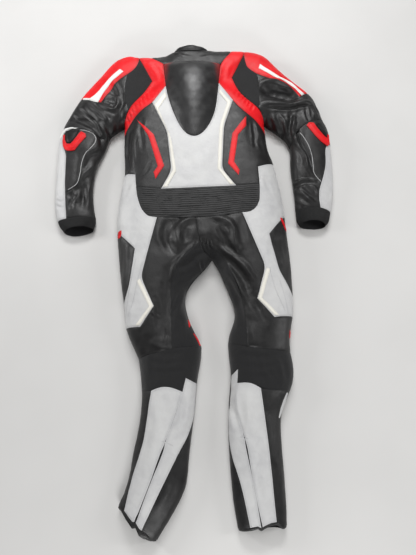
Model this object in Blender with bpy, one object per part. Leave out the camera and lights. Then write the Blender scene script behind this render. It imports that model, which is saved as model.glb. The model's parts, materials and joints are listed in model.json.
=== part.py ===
# A one-piece motorcycle race suit, laid flat on its front with the back up.
# X runs to the wearer's right, Y towards the collar, Z up. Tables are in millimetres.
# The suit is two sheets that meet along one outline: the back sheet arches up from it, the front sheet
# lies on the floor and curls up to it. Seams cut both sheets into panels, and each panel gets a wall.

import math

import bpy
import numpy as np
from mathutils import Vector
from mathutils.geometry import delaunay_2d_cdt

MM = 0.001
WALL = 2.4              # leather with its backing
APPLIQUE_WALL = 1.4     # bars, bolts and stripes sewn on a panel
ZIP_WALL = 1.5
ZIP_DROP = 0.8          # a zip's tape lies below the leather beside it
SEAM_GAP = 0.3          # between two panels, and under an applique
MITRE_LIMIT = 5.0       # a panel's corner is drawn in by at most this many half gaps
EDGE_HEIGHT = 16.0      # where the two sheets meet, above the floor
EDGE_REACH = 18.0       # how far the front sheet takes to come down to the floor
SECTION_BLEND = 42.0    # how far a section's height is felt
FAR_HEIGHT = 70.0       # crown and reach where no section is near
FOLD_FADE = 16.0        # folds die out this close to the outline
FOLD_STEP = 24.0        # points along a fold
HUMP_END = 26.0         # length of the hump's blunt upper end
HUMP_MARGIN = 4.0       # that end stands this far above the last level of the table
LUMBAR_RIBS = 14
LUMBAR_RIB_HEIGHT = 1.3
LUMBAR_RIB_COLUMNS = 6
LUMBAR_FIELD = {"low": 113.0, "high": 199.0, "half_width": 158.0, "tilt": 0.045}
SEAM_SPACING = 30.0     # points along seams and edges
CURVE_STEP = 2.0        # fineness of the smooth curves that points are picked from
KNOT_SNAP = 5.0         # two places on a curve this close take one point
ROW_KNOT_SNAP = 1.6     # the same, where a row of points meets the curve
SEAM_REACH = 12.0       # a seam's end this close to an earlier curve is put on it
MERGE = 0.4             # points this close are one
SLOPE_STEP = 0.4        # the step that slopes are measured over



def table(columns, *rows):
    names = columns.split()
    return [dict(zip(names, row)) for row in rows]


def side(rows, x, y):
    return [(row[x], row[y]) for row in rows]


# Sections across the body and the limbs, from edge to edge. crown: height of the back sheet there;
# reach: how far in from the edge it takes to rise to it.
TORSO = table(
    "left_x left_y right_x right_y crown reach",
    (-103, 788, 43, 800, 66, 40),
    (-118, 775, 64, 795, 78, 55),
    (-176, 767, 120, 797, 84, 70),
    (-216, 771, 172, 798, 82, 75),
    (-262, 479, 237, 490, 88, 95),
    (-257, 391, 242, 408, 89, 95),
    (-252, 330, 256, 352, 88, 95),
    (-250, 285, 265, 318, 87, 95),
    (-258, 230, 276, 260, 86, 95),
    (-265, 170, 287, 190, 86, 95),
    (-267, 110, 293, 110, 86, 95),
    (-262, 60, 297, 60, 85, 95),
)
LEG_LEFT = table(
    "outer_x outer_y inner_x inner_y crown reach",
    (-254, 0, 28, -46, 83, 95),
    (-245, -70, -16, -95, 80, 95),
    (-231, -150, -37, -138, 77, 90),
    (-222, -205, -28, -200, 74, 85),
    (-217, -243, -9, -245, 72, 80),
    (-196, -290, 15, -290, 70, 78),
    (-176, -328, 14, -335, 69, 76),
    (-166, -380, 4, -390, 68, 72),
    (-160, -450, -2, -465, 68, 72),
    (-165, -525, -8, -530, 66, 70),
    (-177, -590, -17, -600, 62, 68),
    (-188, -660, -24, -680, 56, 64),
    (-201, -705, -46, -728, 52, 60),
    (-217, -743, -107, -824, 46, 50),
)
LEG_RIGHT = table(
    "outer_x outer_y inner_x inner_y crown reach",
    (300, 0, 72, -55, 83, 95),
    (304, -80, 100, -126, 80, 90),
    (304, -150, 120, -178, 77, 85),
    (300, -205, 119, -215, 74, 80),
    (290, -248, 104, -248, 72, 80),
    (286, -300, 97, -290, 70, 80),
    (294, -350, 102, -345, 69, 80),
    (292, -392, 106, -385, 68, 78),
    (274, -438, 99, -440, 68, 76),
    (251, -490, 96, -500, 68, 72),
    (248, -575, 95, -574, 64, 70),
    (252, -650, 99, -649, 57, 66),
    (253, -720, 107, -730, 51, 62),
    (253, -789, 119, -795, 46, 55),
)
SLEEVE_LEFT = table(
    "outer_x outer_y inner_x inner_y crown reach",
    (-250, 779, -262, 479, 68, 62),
    (-303, 764, -276, 468, 64, 62),
    (-365, 684, -297, 453, 60, 60),
    (-421, 603, -314, 438, 59, 58),
    (-452, 537, -318, 421, 59, 58),
    (-478, 474, -319, 400, 60, 58),
    (-488, 430, -330, 370, 60, 60),
    (-488, 360, -347, 334, 57, 58),
    (-486, 297, -355, 270, 53, 56),
    (-483, 215, -354, 215, 48, 54),
    (-477, 155, -346, 160, 45, 52),
    (-465, 118, -338, 130, 43, 50),
    (-450, 80, -333, 90, 42, 48),
)
SLEEVE_RIGHT = table(
    "outer_x outer_y inner_x inner_y crown reach",
    (208, 796, 237, 490, 68, 62),
    (246, 782, 262, 468, 64, 62),
    (306, 714, 290, 444, 60, 60),
    (360, 659, 312, 424, 59, 58),
    (402, 619, 321, 405, 59, 58),
    (424, 588, 323, 388, 59, 58),
    (438, 528, 323, 365, 59, 58),
    (461, 472, 321, 345, 60, 58),
    (466, 410, 320, 320, 58, 60),
    (466, 340, 322, 290, 55, 58),
    (465, 271, 325, 255, 50, 56),
    (458, 210, 328, 205, 47, 54),
    (447, 152, 329, 158, 44, 50),
    (436, 103, 330, 104, 42, 46),
)
# The hump: its edge left and right at each level, and how far it stands above the back there.
HUMP = table(
    "y left_x right_x rise",
    (396, -17, -9, 0),
    (412, -41, 18, 5),
    (457, -67, 45, 17),
    (507, -87, 61, 30),
    (560, -103, 68, 42),
    (610, -113, 73, 52),
    (655, -119, 77, 58),
    (704, -124, 80, 58),
)
# The largest folds of the back sheet: a ridge where rise is positive, a trough where it is negative.
FOLDS = table(
    "start_x start_y end_x end_y width rise",
    # left sleeve, above the elbow and down the forearm
    (-395, 545, -335, 512, 15, 7),
    (-328, 505, -316, 450, 13, 7),
    (-440, 492, -372, 484, 16, -11),
    (-350, 490, -342, 440, 12, -9),
    (-420, 524, -372, 510, 11, -4),
    (-306, 612, -286, 556, 14, -9),
    (-330, 590, -312, 540, 12, 5),
    (-404, 350, -408, 262, 12, -5),
    (-368, 380, -388, 262, 11, 4),
    (-392, 225, -366, 170, 13, -6),
    # right sleeve, the deep fold under the shoulder and the ones round the elbow
    (248, 600, 330, 583, 20, -24),
    (246, 560, 392, 556, 13, 7),
    (250, 636, 320, 618, 13, 6),
    (262, 518, 330, 505, 16, -9),
    (345, 520, 412, 545, 14, -6),
    (336, 478, 345, 420, 12, 6),
    (352, 400, 380, 330, 11, -5),
    (335, 270, 410, 268, 10, -6),
    (345, 240, 372, 190, 12, 5),
    # side backs
    (-232, 430, -236, 310, 11, -4),
    (-212, 440, -214, 300, 11, 3),
    (178, 462, 186, 372, 11, -4),
    (200, 455, 222, 372, 11, 5),
    # seat
    (-4, 92, 12, 20, 22, -5),
    (-72, 92, -92, 5, 17, -7),
    (-44, 88, -58, 16, 13, 5),
    (52, 98, 82, 16, 15, -6),
    (104, 96, 128, 8, 15, 6),
    (-18, 56, 34, 44, 12, 5),
    # inner thighs
    (-54, -58, -48, -282, 13, 6),
    (-88, -74, -96, -262, 14, -6),
    (92, -46, 158, -196, 13, 7),
    (120, -30, 186, -182, 13, -6),
    (150, -210, 178, -292, 14, 4),
    # calves
    (118, -415, 121, -520, 9, -2),
    (-60, -590, -30, -612, 10, -2),
)

COLLAR_CORNERS = ((-98, 816), (36, 818))
CROTCH = (49, -17)
LEFT_ARMPIT = (-262, 479)
RIGHT_ARMPIT = (237, 490)

# The edges where the two sheets meet, anticlockwise seen from above.
EDGES = {
    "left_outer": [COLLAR_CORNERS[0]] + side(TORSO[:4], "left_x", "left_y")
    + side(SLEEVE_LEFT, "outer_x", "outer_y"),
    "left_inner": side(SLEEVE_LEFT[::-1], "inner_x", "inner_y"),
    "left_side": side(TORSO[4:], "left_x", "left_y") + side(LEG_LEFT, "outer_x", "outer_y"),
    "left_inseam": side(LEG_LEFT[::-1], "inner_x", "inner_y") + [CROTCH],
    "right_inseam": [CROTCH] + side(LEG_RIGHT, "inner_x", "inner_y"),
    "right_side": side(LEG_RIGHT[::-1], "outer_x", "outer_y") + side(TORSO[:3:-1], "right_x", "right_y"),
    "right_inner": side(SLEEVE_RIGHT, "inner_x", "inner_y"),
    "right_outer": side(SLEEVE_RIGHT[::-1], "outer_x", "outer_y") + side(TORSO[3::-1], "right_x", "right_y")
    + [COLLAR_CORNERS[1]],
}
# The open ends: the rim of the back sheet and the rim of the front sheet under it.
BACK_RIMS = {
    "neck_back": [COLLAR_CORNERS[0], (-62, 812), (-30, 811), (4, 813), COLLAR_CORNERS[1]],
    "cuff_left_back": [(-450, 80), (-425, 88), (-392, 94), (-358, 95), (-333, 90)],
    "cuff_right_back": [(330, 104), (354, 112), (384, 117), (412, 114), (436, 103)],
    "hem_left_back": [(-217, -743), (-193, -750), (-166, -776), (-143, -801), (-123, -822), (-107, -824)],
    "hem_right_back": [(119, -795), (150, -790), (182, -788), (224, -780), (253, -789)],
}
FRONT_RIMS = {
    "neck_front": [COLLAR_CORNERS[0], (-60, 812), (-30, 808), (2, 812), COLLAR_CORNERS[1]],
    "cuff_left_front": [(-450, 80), (-420, 72), (-385, 75), (-355, 84), (-333, 90)],
    "cuff_right_front": [(330, 104), (356, 101), (384, 98), (412, 99), (436, 103)],
    "hem_left_front": [(-217, -743), (-190, -757), (-160, -784), (-132, -812), (-107, -824)],
    "hem_right_front": [(119, -795), (152, -796), (186, -793), (222, -790), (253, -789)],
}
# Seams of the back sheet. curve: smooth runs through its points, line has corners at them.
# An end that comes close to an earlier curve is put on it.
BACK_SEAMS = table(
    "name shape points",
    ("collar_seam", "curve", [(-104, 784), (-72, 769), (-20, 763), (24, 771), (44, 797)]),
    ("hump_edge", "curve", [(row["left_x"], row["y"]) for row in HUMP[::-1]]
     + [(-13, 395)] + [(row["right_x"], row["y"]) for row in HUMP[1:]]),
    ("hump_top", "curve", [(-124, 704), (-70, 712), (-20, 714), (30, 714), (80, 704)]),
    ("yoke_left", "line", [(-176, 767), (-163, 733), (-124, 704)]),
    ("yoke_right", "line", [(120, 797), (118, 757), (80, 704)]),
    ("shoulder_left", "line", [(-216, 771), (-213, 735)]),
    ("shoulder_right", "line", [(172, 798), (166, 751)]),
    ("red_left_inner", "line", [(-112, 603), (-156, 535)]),
    ("red_left_low", "curve", [(-156, 535), (-208, 495), (-242, 455), (-260, 436)]),
    ("red_left_high", "line", [(-213, 735), (-163, 640)]),
    ("red_left_outer", "curve", [(-163, 640), (-190, 590), (-226, 546), (-262, 479)]),
    ("red_right_inner", "line", [(74, 616), (122, 545)]),
    ("red_right_low", "curve", [(122, 545), (148, 511), (198, 478), (238, 446)]),
    ("red_right_high", "line", [(166, 751), (121, 655)]),
    ("red_right_outer", "curve", [(121, 655), (143, 600), (178, 556), (214, 526), (237, 490)]),
    ("sleeve_top_left_back", "line", [(-213, 735), (-222, 697)]),
    ("sleeve_top_left_low", "curve", [(-222, 697), (-258, 668), (-292, 642), (-316, 598), (-342, 556)]),
    ("sleeve_top_left_end", "line", [(-342, 556), (-405, 576), (-427, 592)]),
    ("sleeve_top_right_back", "line", [(166, 751), (175, 702), (212, 673)]),
    ("sleeve_top_right_low", "curve", [(212, 673), (262, 655), (300, 645), (330, 627), (361, 584)]),
    ("sleeve_top_right_end", "line", [(361, 584), (384, 600), (402, 619)]),
    ("armhole_left", "curve", [(-254, 671), (-260, 610), (-246, 518)]),
    ("armhole_right", "curve", [(212, 673), (219, 600), (214, 526)]),
    ("cuff_seam_left", "curve", [(-465, 118), (-430, 121), (-380, 129), (-338, 130)]),
    ("cuff_seam_right", "curve", [(329, 158), (360, 161), (408, 160), (447, 152)]),
    ("silver_left_tip", "curve", [(-480, 469), (-455, 459), (-410, 453)]),
    ("silver_left_edge", "curve", [(-410, 453), (-452, 449), (-469, 430), (-468, 395), (-451, 366),
                                   (-443, 235), (-430, 121)]),
    ("elbow_left", "curve", [(-410, 453), (-369, 440), (-320, 418)]),
    ("piping_left", "curve", [(-369, 440), (-350, 410), (-372, 365), (-386, 325), (-394, 250), (-412, 224),
                              (-442, 212)]),
    ("silver_right_edge", "curve", [(466, 404), (442, 392), (436, 316), (419, 256), (404, 210), (408, 160)]),
    ("elbow_right", "curve", [(449, 500), (400, 484), (352, 450), (322, 398)]),
    ("piping_right", "curve", [(352, 450), (340, 424), (354, 385), (374, 335), (392, 288), (419, 256)]),
    ("centre_left", "line", [(-156, 535), (-102, 418), (-84, 272), (-116, 206)]),
    ("centre_right", "line", [(122, 545), (90, 440), (82, 279), (127, 218)]),
    ("hip_left_inner", "curve", [(-204, 262), (-198, 213), (-190, 172), (-172, 127), (-150, 109),
                                (-126, 106)]),
    ("hip_right_inner", "curve", [(201, 288), (204, 224), (201, 165), (190, 138), (170, 125), (145, 123)]),
    ("lumbar_top", "line", [(-198, 213), (-116, 206), (127, 218), (204, 224)]),
    ("lumbar_low", "curve", [(-126, 106), (-60, 104), (60, 110), (145, 123)]),
    ("hip_left_top", "curve", [(-251, 284), (-228, 274), (-204, 262)]),
    ("hip_right_top", "curve", [(263, 325), (234, 305), (201, 288)]),
    ("hip_left_low", "line", [(-126, 106), (-170, -89), (-127, -179), (-167, -241), (-217, -240)]),
    ("hip_right_low", "line", [(145, 123), (213, -55), (185, -155), (235, -212), (300, -203)]),
    ("thigh_left", "line", [(-264, 76), (-192, 3), (-209, -119), (-229, -162)]),
    ("thigh_right", "line", [(292, 134), (229, 52), (256, -66), (304, -140)]),
    ("seat_seam", "curve", [(-3, 105), (8, 40), (20, 2), CROTCH]),
    ("knee_left", "curve", [(-174, -332), (-91, -310), (-24, -298), (16, -296)]),
    ("knee_right", "curve", [(97, -286), (150, -298), (200, -306), (287, -311)]),
    ("inner_leg_left", "curve", [(11, 28), (-28, -4), (-60, -48), (-76, -95), (-76, -180), (-70, -306)]),
    ("inner_leg_right", "curve", [(11, 28), (58, 10), (88, -32), (126, -108), (148, -200), (152, -299)]),
    ("hem_seam_left", "curve", [(-214, -732), (-192, -738), (-160, -767), (-141, -785), (-122, -806),
                                (-101, -816)]),
    ("hem_seam_right", "curve", [(117, -786), (149, -781), (180, -779), (221, -771), (253, -780)]),
    ("calf_left_top", "curve", [(-162, -425), (-132, -426), (-93, -411), (-65, -416), (-37, -428)]),
    ("calf_left_step", "line", [(-37, -428), (-28, -389), (3, -404)]),
    ("calf_left_outer", "curve", [(-128, -425), (-137, -486), (-148, -569), (-176, -660), (-192, -738)]),
    ("calf_left_seam", "curve", [(-37, -428), (-58, -495), (-77, -546), (-84, -564)]),
    ("calf_left_inner", "curve", [(-5, -500), (-17, -540), (-48, -598), (-93, -686), (-141, -785)]),
    ("zip_left_outer", "line", [(-84, -564), (-88, -570), (-164, -764)]),
    ("zip_left_inner", "line", [(-84, -564), (-81, -572), (-157, -770)]),
    ("calf_right_top", "curve", [(121, -403), (148, -399), (172, -402), (190, -419), (240, -424),
                                (281, -424)]),
    ("calf_right_step", "line", [(121, -403), (123, -363), (106, -380)]),
    ("calf_right_outer", "curve", [(188, -417), (196, -490), (205, -569), (214, -677), (221, -771)]),
    ("calf_right_seam", "curve", [(121, -403), (115, -440), (116, -477), (127, -515), (138, -550)]),
    ("calf_right_inner", "curve", [(95, -540), (99, -588), (127, -678), (149, -781)]),
    ("zip_right_inner", "line", [(138, -550), (136, -557), (177, -779)]),
    ("zip_right_outer", "line", [(138, -550), (142, -556), (184, -779)]),
)
# Seams of the front sheet, which is out of sight: a zip down the middle, waist, knees, armholes, collar,
# cuffs and hems.
FRONT_SEAMS = table(
    "name shape points",
    ("front_collar", "curve", [(-104, 784), (-40, 772), (-20, 772), (44, 797)]),
    ("front_armhole_left", "curve", [(-216, 771), (-238, 690), (-244, 560), LEFT_ARMPIT]),
    ("front_armhole_right", "curve", [(172, 798), (206, 690), (214, 560), RIGHT_ARMPIT]),
    ("front_cuff_left", "curve", [(-465, 118), (-400, 112), (-338, 130)]),
    ("front_cuff_right", "curve", [(329, 158), (385, 142), (447, 152)]),
    ("front_hem_left", "curve", [(-214, -732), (-160, -768), (-101, -816)]),
    ("front_hem_right", "curve", [(117, -786), (186, -782), (253, -780)]),
    ("zip_front_left", "line", [(-36, 772), (-26, 120), (-26, 70)]),
    ("zip_front_end", "line", [(-26, 70), (-12, 70)]),
    ("zip_front_right", "line", [(-22, 772), (-12, 120), (-12, 70)]),
    ("front_crotch", "curve", [(-12, 70), (20, 20), CROTCH]),
    ("front_waist_left", "curve", [(-266, 150), (-140, 124), (-26, 120)]),
    ("front_waist_right", "curve", [(-12, 120), (140, 130), (290, 158)]),
    ("front_knee_left", "curve", [(-174, -332), (-82, -322), (16, -296)]),
    ("front_knee_right", "curve", [(97, -286), (190, -312), (287, -311)]),
)
# Panels: where a point inside each of their areas is, on the back sheet and on the front sheet.
# A panel with areas on both wraps round the edge.
PANELS = table(
    "name material back front",
    ("collar", "black_leather", [(-20, 790)], [(-30, 790)]),
    ("yoke_back", "black_leather", [(-20, 740)], []),
    ("hump", "black_gloss", [(-20, 600)], []),
    ("back_centre", "silver_leather", [(0, 340)], []),
    ("yoke_red_left", "red_leather", [(-140, 640)], []),
    ("yoke_red_right", "red_leather", [(100, 640)], []),
    ("shoulder_stretch_left", "black_stretch", [(-220, 620)], []),
    ("shoulder_stretch_right", "black_stretch", [(180, 620)], []),
    ("side_back_left", "black_leather", [(-180, 350)], []),
    ("side_back_right", "black_leather", [(160, 350)], []),
    ("lumbar", "black_rib", [(0, 160)], []),
    ("hip_left", "silver_leather", [(-220, 180)], []),
    ("hip_right", "silver_leather", [(240, 200)], []),
    ("seat_left", "black_leather", [(-80, 60)], []),
    ("seat_right", "black_leather", [(80, 60)], []),
    ("inner_leg_left", "black_stretch", [(-50, -150)], []),
    ("inner_leg_right", "black_stretch", [(125, -180)], []),
    ("thigh_outer_left", "black_leather", [(-220, 0)], []),
    ("thigh_outer_right", "black_leather", [(270, 0)], []),
    ("knee_back_left", "black_stretch", [(-80, -360)], []),
    ("knee_back_right", "black_stretch", [(200, -360)], []),
    ("calf_outer_left", "silver_leather", [(-110, -520)], []),
    ("calf_outer_right", "silver_leather", [(170, -520)], []),
    ("calf_inner_left", "silver_leather", [(-40, -520)], []),
    ("calf_inner_right", "silver_leather", [(108, -520)], []),
    ("zip_calf_left", "zip_tape", [(-123, -663)], []),
    ("zip_calf_right", "zip_tape", [(160, -668)], []),
    ("hem_left", "black_leather", [(-150, -785)], [(-160, -776)]),
    ("hem_right", "black_leather", [(160, -785)], [(186, -787)]),
    ("sleeve_top_left", "red_leather", [(-340, 660)], []),
    ("sleeve_top_right", "red_leather", [(260, 720)], []),
    ("sleeve_upper_left", "black_leather", [(-380, 520)], []),
    ("sleeve_upper_right", "black_leather", [(340, 540)], []),
    ("forearm_silver_left", "silver_leather", [(-465, 250)], []),
    ("forearm_silver_right", "silver_leather", [(440, 200)], []),
    ("forearm_back_left", "black_leather", [(-420, 300)], []),
    ("forearm_back_right", "black_leather", [(400, 350)], []),
    ("cuff_left", "black_knit", [(-400, 108)], [(-400, 95)]),
    ("cuff_right", "black_knit", [(380, 140)], [(385, 120)]),
    ("front_left", "black_leather", [], [(-150, 500)]),
    ("front_right", "black_leather", [], [(130, 500)]),
    ("zip_front", "zip_tape", [], [(-25, 500)]),
    ("thigh_front_left", "black_leather", [], [(-120, -100)]),
    ("thigh_front_right", "black_leather", [], [(200, -100)]),
    ("shin_front_left", "black_leather", [(-155, -520), (-50, -680)], [(-120, -450)]),
    ("shin_front_right", "black_leather", [(225, -600), (108, -700)], [(180, -450)]),
    ("sleeve_front_left", "black_leather", [(-372, 240)], [(-400, 400)]),
    ("sleeve_front_right", "black_leather", [(350, 240)], [(380, 400)]),
)
# Appliques: outlines drawn on the back sheet, cut from its points and moved out.
APPLIQUES = table(
    "name material points",
    ("centre_bar_left", "cream_leather", [(-112, 577), (-149, 524), (-99, 417), (-80, 272), (-110, 211),
                                          (-96, 212), (-68, 270), (-87, 391), (-134, 508), (-107, 556)]),
    ("centre_bar_right", "cream_leather", [(75, 590), (116, 536), (87, 441), (79, 280), (121, 222),
                                           (107, 221), (67, 278), (75, 442), (102, 532), (74, 572)]),
    ("red_bolt_left", "red_leather", [(-207, 470), (-163, 399), (-129, 286), (-142, 265), (-135, 241),
                                      (-108, 288), (-146, 405)]),
    ("red_bolt_right", "red_leather", [(166, 482), (164, 441), (137, 405), (122, 303), (139, 273), (136, 254),
                                       (102, 297), (118, 410)]),
    ("hip_bar_left", "cream_leather", [(-175, -95), (-132, -180), (-171, -237), (-184, -237), (-144, -181),
                                       (-185, -101)]),
    ("hip_bar_right", "cream_leather", [(218, -60), (190, -155), (238, -207), (252, -205), (202, -154),
                                        (229, -65)]),
    ("sleeve_stripe_left", "white_leather", [(-277, 699), (-301, 677), (-324, 648), (-354, 602), (-377, 581),
                                             (-406, 589), (-404, 580), (-348, 562), (-331, 600), (-306, 647),
                                             (-264, 688)]),
    ("sleeve_stripe_right", "white_leather", [(224, 720), (262, 691), (300, 668), (345, 637), (379, 602),
                                              (370, 593), (340, 625), (300, 653), (262, 675), (218, 702)]),
    ("elbow_ring_left", "red_leather", [(-464, 428), (-464, 394), (-454, 369), (-440, 361), (-418, 364),
                                        (-403, 387), (-382, 416), (-385, 428), (-400, 437), (-408, 430),
                                        (-425, 398), (-434, 389), (-446, 390), (-455, 404), (-457, 428)]),
    ("elbow_ring_right", "red_leather", [(377, 462), (386, 474), (403, 472), (409, 458), (430, 430),
                                         (440, 421), (449, 421), (450, 437), (456, 437), (456, 399),
                                         (446, 387), (424, 397), (400, 425)]),
    ("elbow_pad_left", "black_gloss", [(-454, 438), (-411, 438), (-428, 401), (-436, 394), (-444, 395),
                                       (-452, 406)]),
    ("elbow_pad_right", "black_gloss", [(412, 462), (420, 469), (440, 449), (447, 440), (446, 426),
                                        (441, 426), (433, 434)]),
)
# How each sheet is filled with points: rows along its edge, each as its distance in and how many of the
# edge's points go by for each of the row's; then a grid, kept clear of the seams.
FILLS = {
    "back": {"rows": ((4.0, 1), (17.0, 1)), "spacing": 33.0, "clear": 11.0},
    "front": {"rows": ((5.0, 1), (18.0, 2)), "spacing": 62.0, "clear": 20.0},
}
# Distances that new points keep, as shares of the row's distance in or of the clear distance.
ROW_CLEAR, ROW_SEAM_CLEAR, ROW_SEAM_MOST, ROW_DRIFT = 0.55, 0.5, 4.0, 0.25
FAN_CLEAR, FAN_SEAM_CLEAR, FAN_DEPTH, FAN_COUNT = 0.4, 0.3, 0.97, 12
GRID_SEAM_CLEAR, GRID_MARGIN, GRID_ROW = 0.75, 0.35, 0.866
COLOURS = {             # colour, roughness
    "black_leather": ((0.012, 0.012, 0.013), 0.42),
    "black_gloss": ((0.014, 0.014, 0.015), 0.22),
    "black_stretch": ((0.014, 0.014, 0.015), 0.85),
    "black_rib": ((0.014, 0.014, 0.015), 0.85),
    "black_knit": ((0.010, 0.010, 0.011), 0.9),
    "silver_leather": ((0.62, 0.61, 0.60), 0.42),
    "cream_leather": ((0.82, 0.80, 0.72), 0.42),
    "white_leather": ((0.85, 0.85, 0.82), 0.42),
    "red_leather": ((0.70, 0.012, 0.018), 0.42),
    "zip_tape": ((0.02, 0.02, 0.02), 0.7),
}


# Curves.

def smooth_curve(points):
    """Centripetal Catmull-Rom through the points, at CURVE_STEP."""
    p = np.array(points, float)
    p = np.vstack([2 * p[0] - p[1], p, 2 * p[-1] - p[-2]])
    out = [p[1]]
    for a, b, c, d in zip(p, p[1:], p[2:], p[3:]):
        t1 = math.sqrt(np.linalg.norm(b - a))
        t2 = t1 + math.sqrt(np.linalg.norm(c - b))
        t3 = t2 + math.sqrt(np.linalg.norm(d - c))
        count = max(2, int(np.linalg.norm(c - b) / CURVE_STEP))
        for t in np.linspace(t1, t2, count + 1)[1:]:
            ab = a + (b - a) * t / t1
            bc = b + (c - b) * (t - t1) / (t2 - t1)
            cd = c + (d - c) * (t - t2) / (t3 - t2)
            abc = ab + (bc - ab) * t / t2
            bcd = bc + (cd - bc) * (t - t1) / (t3 - t1)
            out.append(abc + (bcd - abc) * (t - t1) / (t2 - t1))
    return np.array(out)


def dense_line(points):
    """Straight from point to point, at CURVE_STEP."""
    out = [np.array(points[0], float)]
    for a, b in zip(points, points[1:]):
        a, b = np.array(a, float), np.array(b, float)
        count = max(2, int(np.linalg.norm(b - a) / CURVE_STEP))
        out.extend(a + (b - a) * k / count for k in range(1, count + 1))
    return np.array(out)


class Curve:
    """A dense run of points, with the places along it that must get a point of the mesh."""

    def __init__(self, name, points, shape):
        self.name = name
        self.dense = smooth_curve(points) if shape == "curve" else dense_line(points)
        steps = np.linalg.norm(np.diff(self.dense, axis=0), axis=1)
        self.length = np.concatenate([[0.0], np.cumsum(steps)])
        self.knots = {0.0, float(self.length[-1])}
        if shape == "line":
            self.knots.update(self.nearest(np.array(p, float))[0] for p in points[1:-1])

    def nearest(self, point):
        """Distance along the curve, and from it, of the place nearest to a point."""
        a, b = self.dense[:-1], self.dense[1:]
        ab = b - a
        t = np.clip(((point - a) * ab).sum(1) / (ab * ab).sum(1), 0, 1)
        gap = np.linalg.norm(a + ab * t[:, None] - point, axis=1)
        k = int(gap.argmin())
        return float(self.length[k] + t[k] * np.linalg.norm(ab[k])), float(gap[k])

    def at(self, s):
        return np.array([np.interp(s, self.length, self.dense[:, axis]) for axis in (0, 1)])

    def add_knot(self, s, snap=KNOT_SNAP):
        """A place that gets a point; one closer than snap to a place already there takes that one."""
        close = [k for k in self.knots if abs(k - s) < snap]
        if close:
            return min(close, key=lambda k: abs(k - s))
        self.knots.add(s)
        return s

    def add_row_knots(self, rows):
        """Where the curve comes within each row's distance of the edge."""
        depth = edge_distance(self.dense)
        for row, _ in rows:
            for k in np.nonzero((depth[:-1] - row) * (depth[1:] - row) < 0)[0]:
                t = (row - depth[k]) / (depth[k + 1] - depth[k])
                s = self.length[k] + t * (self.length[k + 1] - self.length[k])
                self.add_knot(float(s), ROW_KNOT_SNAP)

    def points(self):
        knots = sorted(self.knots)
        out = []
        for a, b in zip(knots, knots[1:]):
            count = max(1, round((b - a) / SEAM_SPACING))
            out.extend(self.at(a + (b - a) * k / count) for k in range(count))
        out.append(self.at(knots[-1]))
        return out


def curves_of(outlines):
    return [Curve(name, points, "curve") for name, points in outlines.items()]


def seams_of(rows, hosts):
    """Seams, each one's ends put on what is already there."""
    out = []
    for row in rows:
        points = [tuple(map(float, p)) for p in row["points"]]
        for end in (0, -1):
            points[end] = snapped(points[end], hosts + out)
        out.append(Curve(row["name"], points, row["shape"]))
    return out


def snapped(point, curves):
    best = min(((*curve.nearest(np.array(point)), curve) for curve in curves), key=lambda hit: hit[1])
    s, gap, curve = best
    if gap > SEAM_REACH:
        return point
    return tuple(curve.at(curve.add_knot(s)))


# The form of the two sheets.

def segment_distance(points, start, end):
    a, b = np.array(start, float), np.array(end, float)
    ab = b - a
    t = np.clip((points - a) @ ab / (ab @ ab), 0, 1)
    return np.linalg.norm(points - (a + t[:, None] * ab), axis=1)


class EdgeDistance:
    """Distance in from the edge where the two sheets meet; negative outside it."""

    CHUNK = 400

    def __init__(self, edges):
        self.a = np.vstack([edge.dense[:-1] for edge in edges])
        self.b = np.vstack([edge.dense[1:] for edge in edges])
        self.ab = self.b - self.a
        self.size = (self.ab ** 2).sum(1)
        inward = np.column_stack([-self.ab[:, 1], self.ab[:, 0]]) / np.sqrt(self.size)[:, None]
        joined = np.linalg.norm(self.b - np.roll(self.a, -1, axis=0), axis=1) < MERGE
        after = np.where(joined[:, None], np.roll(inward, -1, axis=0), 0)
        before = np.where(np.roll(joined, 1)[:, None], np.roll(inward, 1, axis=0), 0)
        self.inward = np.stack([inward + before, inward, inward + after])

    def __call__(self, points):
        out = []
        for chunk in np.array_split(points, len(points) // self.CHUNK + 1):
            to = chunk[:, None, :] - self.a
            t = np.clip((to * self.ab).sum(2) / self.size, 0, 1)
            away = to - t[:, :, None] * self.ab
            gap = np.linalg.norm(away, axis=2)
            rows, k = np.arange(len(chunk)), gap.argmin(1)
            t = t[rows, k]
            which = np.where(t <= 0, 0, np.where(t >= 1, 2, 1))
            inside_it = (away[rows, k] * self.inward[which, k]).sum(1)
            out.append(gap[rows, k] * np.where(inside_it < 0, -1, 1))
        return np.concatenate(out)


edge_distance = EdgeDistance(curves_of(EDGES))


def rounded(ratio):
    """A quarter of an ellipse: steep at the edge, level at 1."""
    return np.sqrt(1 - (1 - np.clip(ratio, 0, 1)) ** 2)


def section_fields(points):
    """Crown height and reach at each point, blended from the sections near it."""
    total = np.full(len(points), 1e-12)
    crown = total * FAR_HEIGHT
    reach = total * FAR_HEIGHT
    for row in TORSO + LEG_LEFT + LEG_RIGHT + SLEEVE_LEFT + SLEEVE_RIGHT:
        start_x, start_y, end_x, end_y, row_crown, row_reach = row.values()
        gap = segment_distance(points, (start_x, start_y), (end_x, end_y))
        weight = np.exp(-(gap / SECTION_BLEND) ** 2)
        total += weight
        crown += weight * row_crown
        reach += weight * row_reach
    return crown / total, reach / total


def hump_rise(points):
    x, y = points[:, 0], points[:, 1]
    levels = [row["y"] for row in HUMP]
    left = np.interp(y, levels, [row["left_x"] for row in HUMP])
    right = np.interp(y, levels, [row["right_x"] for row in HUMP])
    rise = np.interp(y, levels, [row["rise"] for row in HUMP], left=0)
    across = np.clip(np.abs(2 * x - left - right) / (right - left), 0, 1)
    end = rounded((HUMP[-1]["y"] + HUMP_MARGIN - y) / HUMP_END)
    return np.where(y < HUMP[0]["y"], 0, rise * (1 - across ** 2) * end)


def fold_ends(row):
    return (row["start_x"], row["start_y"]), (row["end_x"], row["end_y"])


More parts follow.
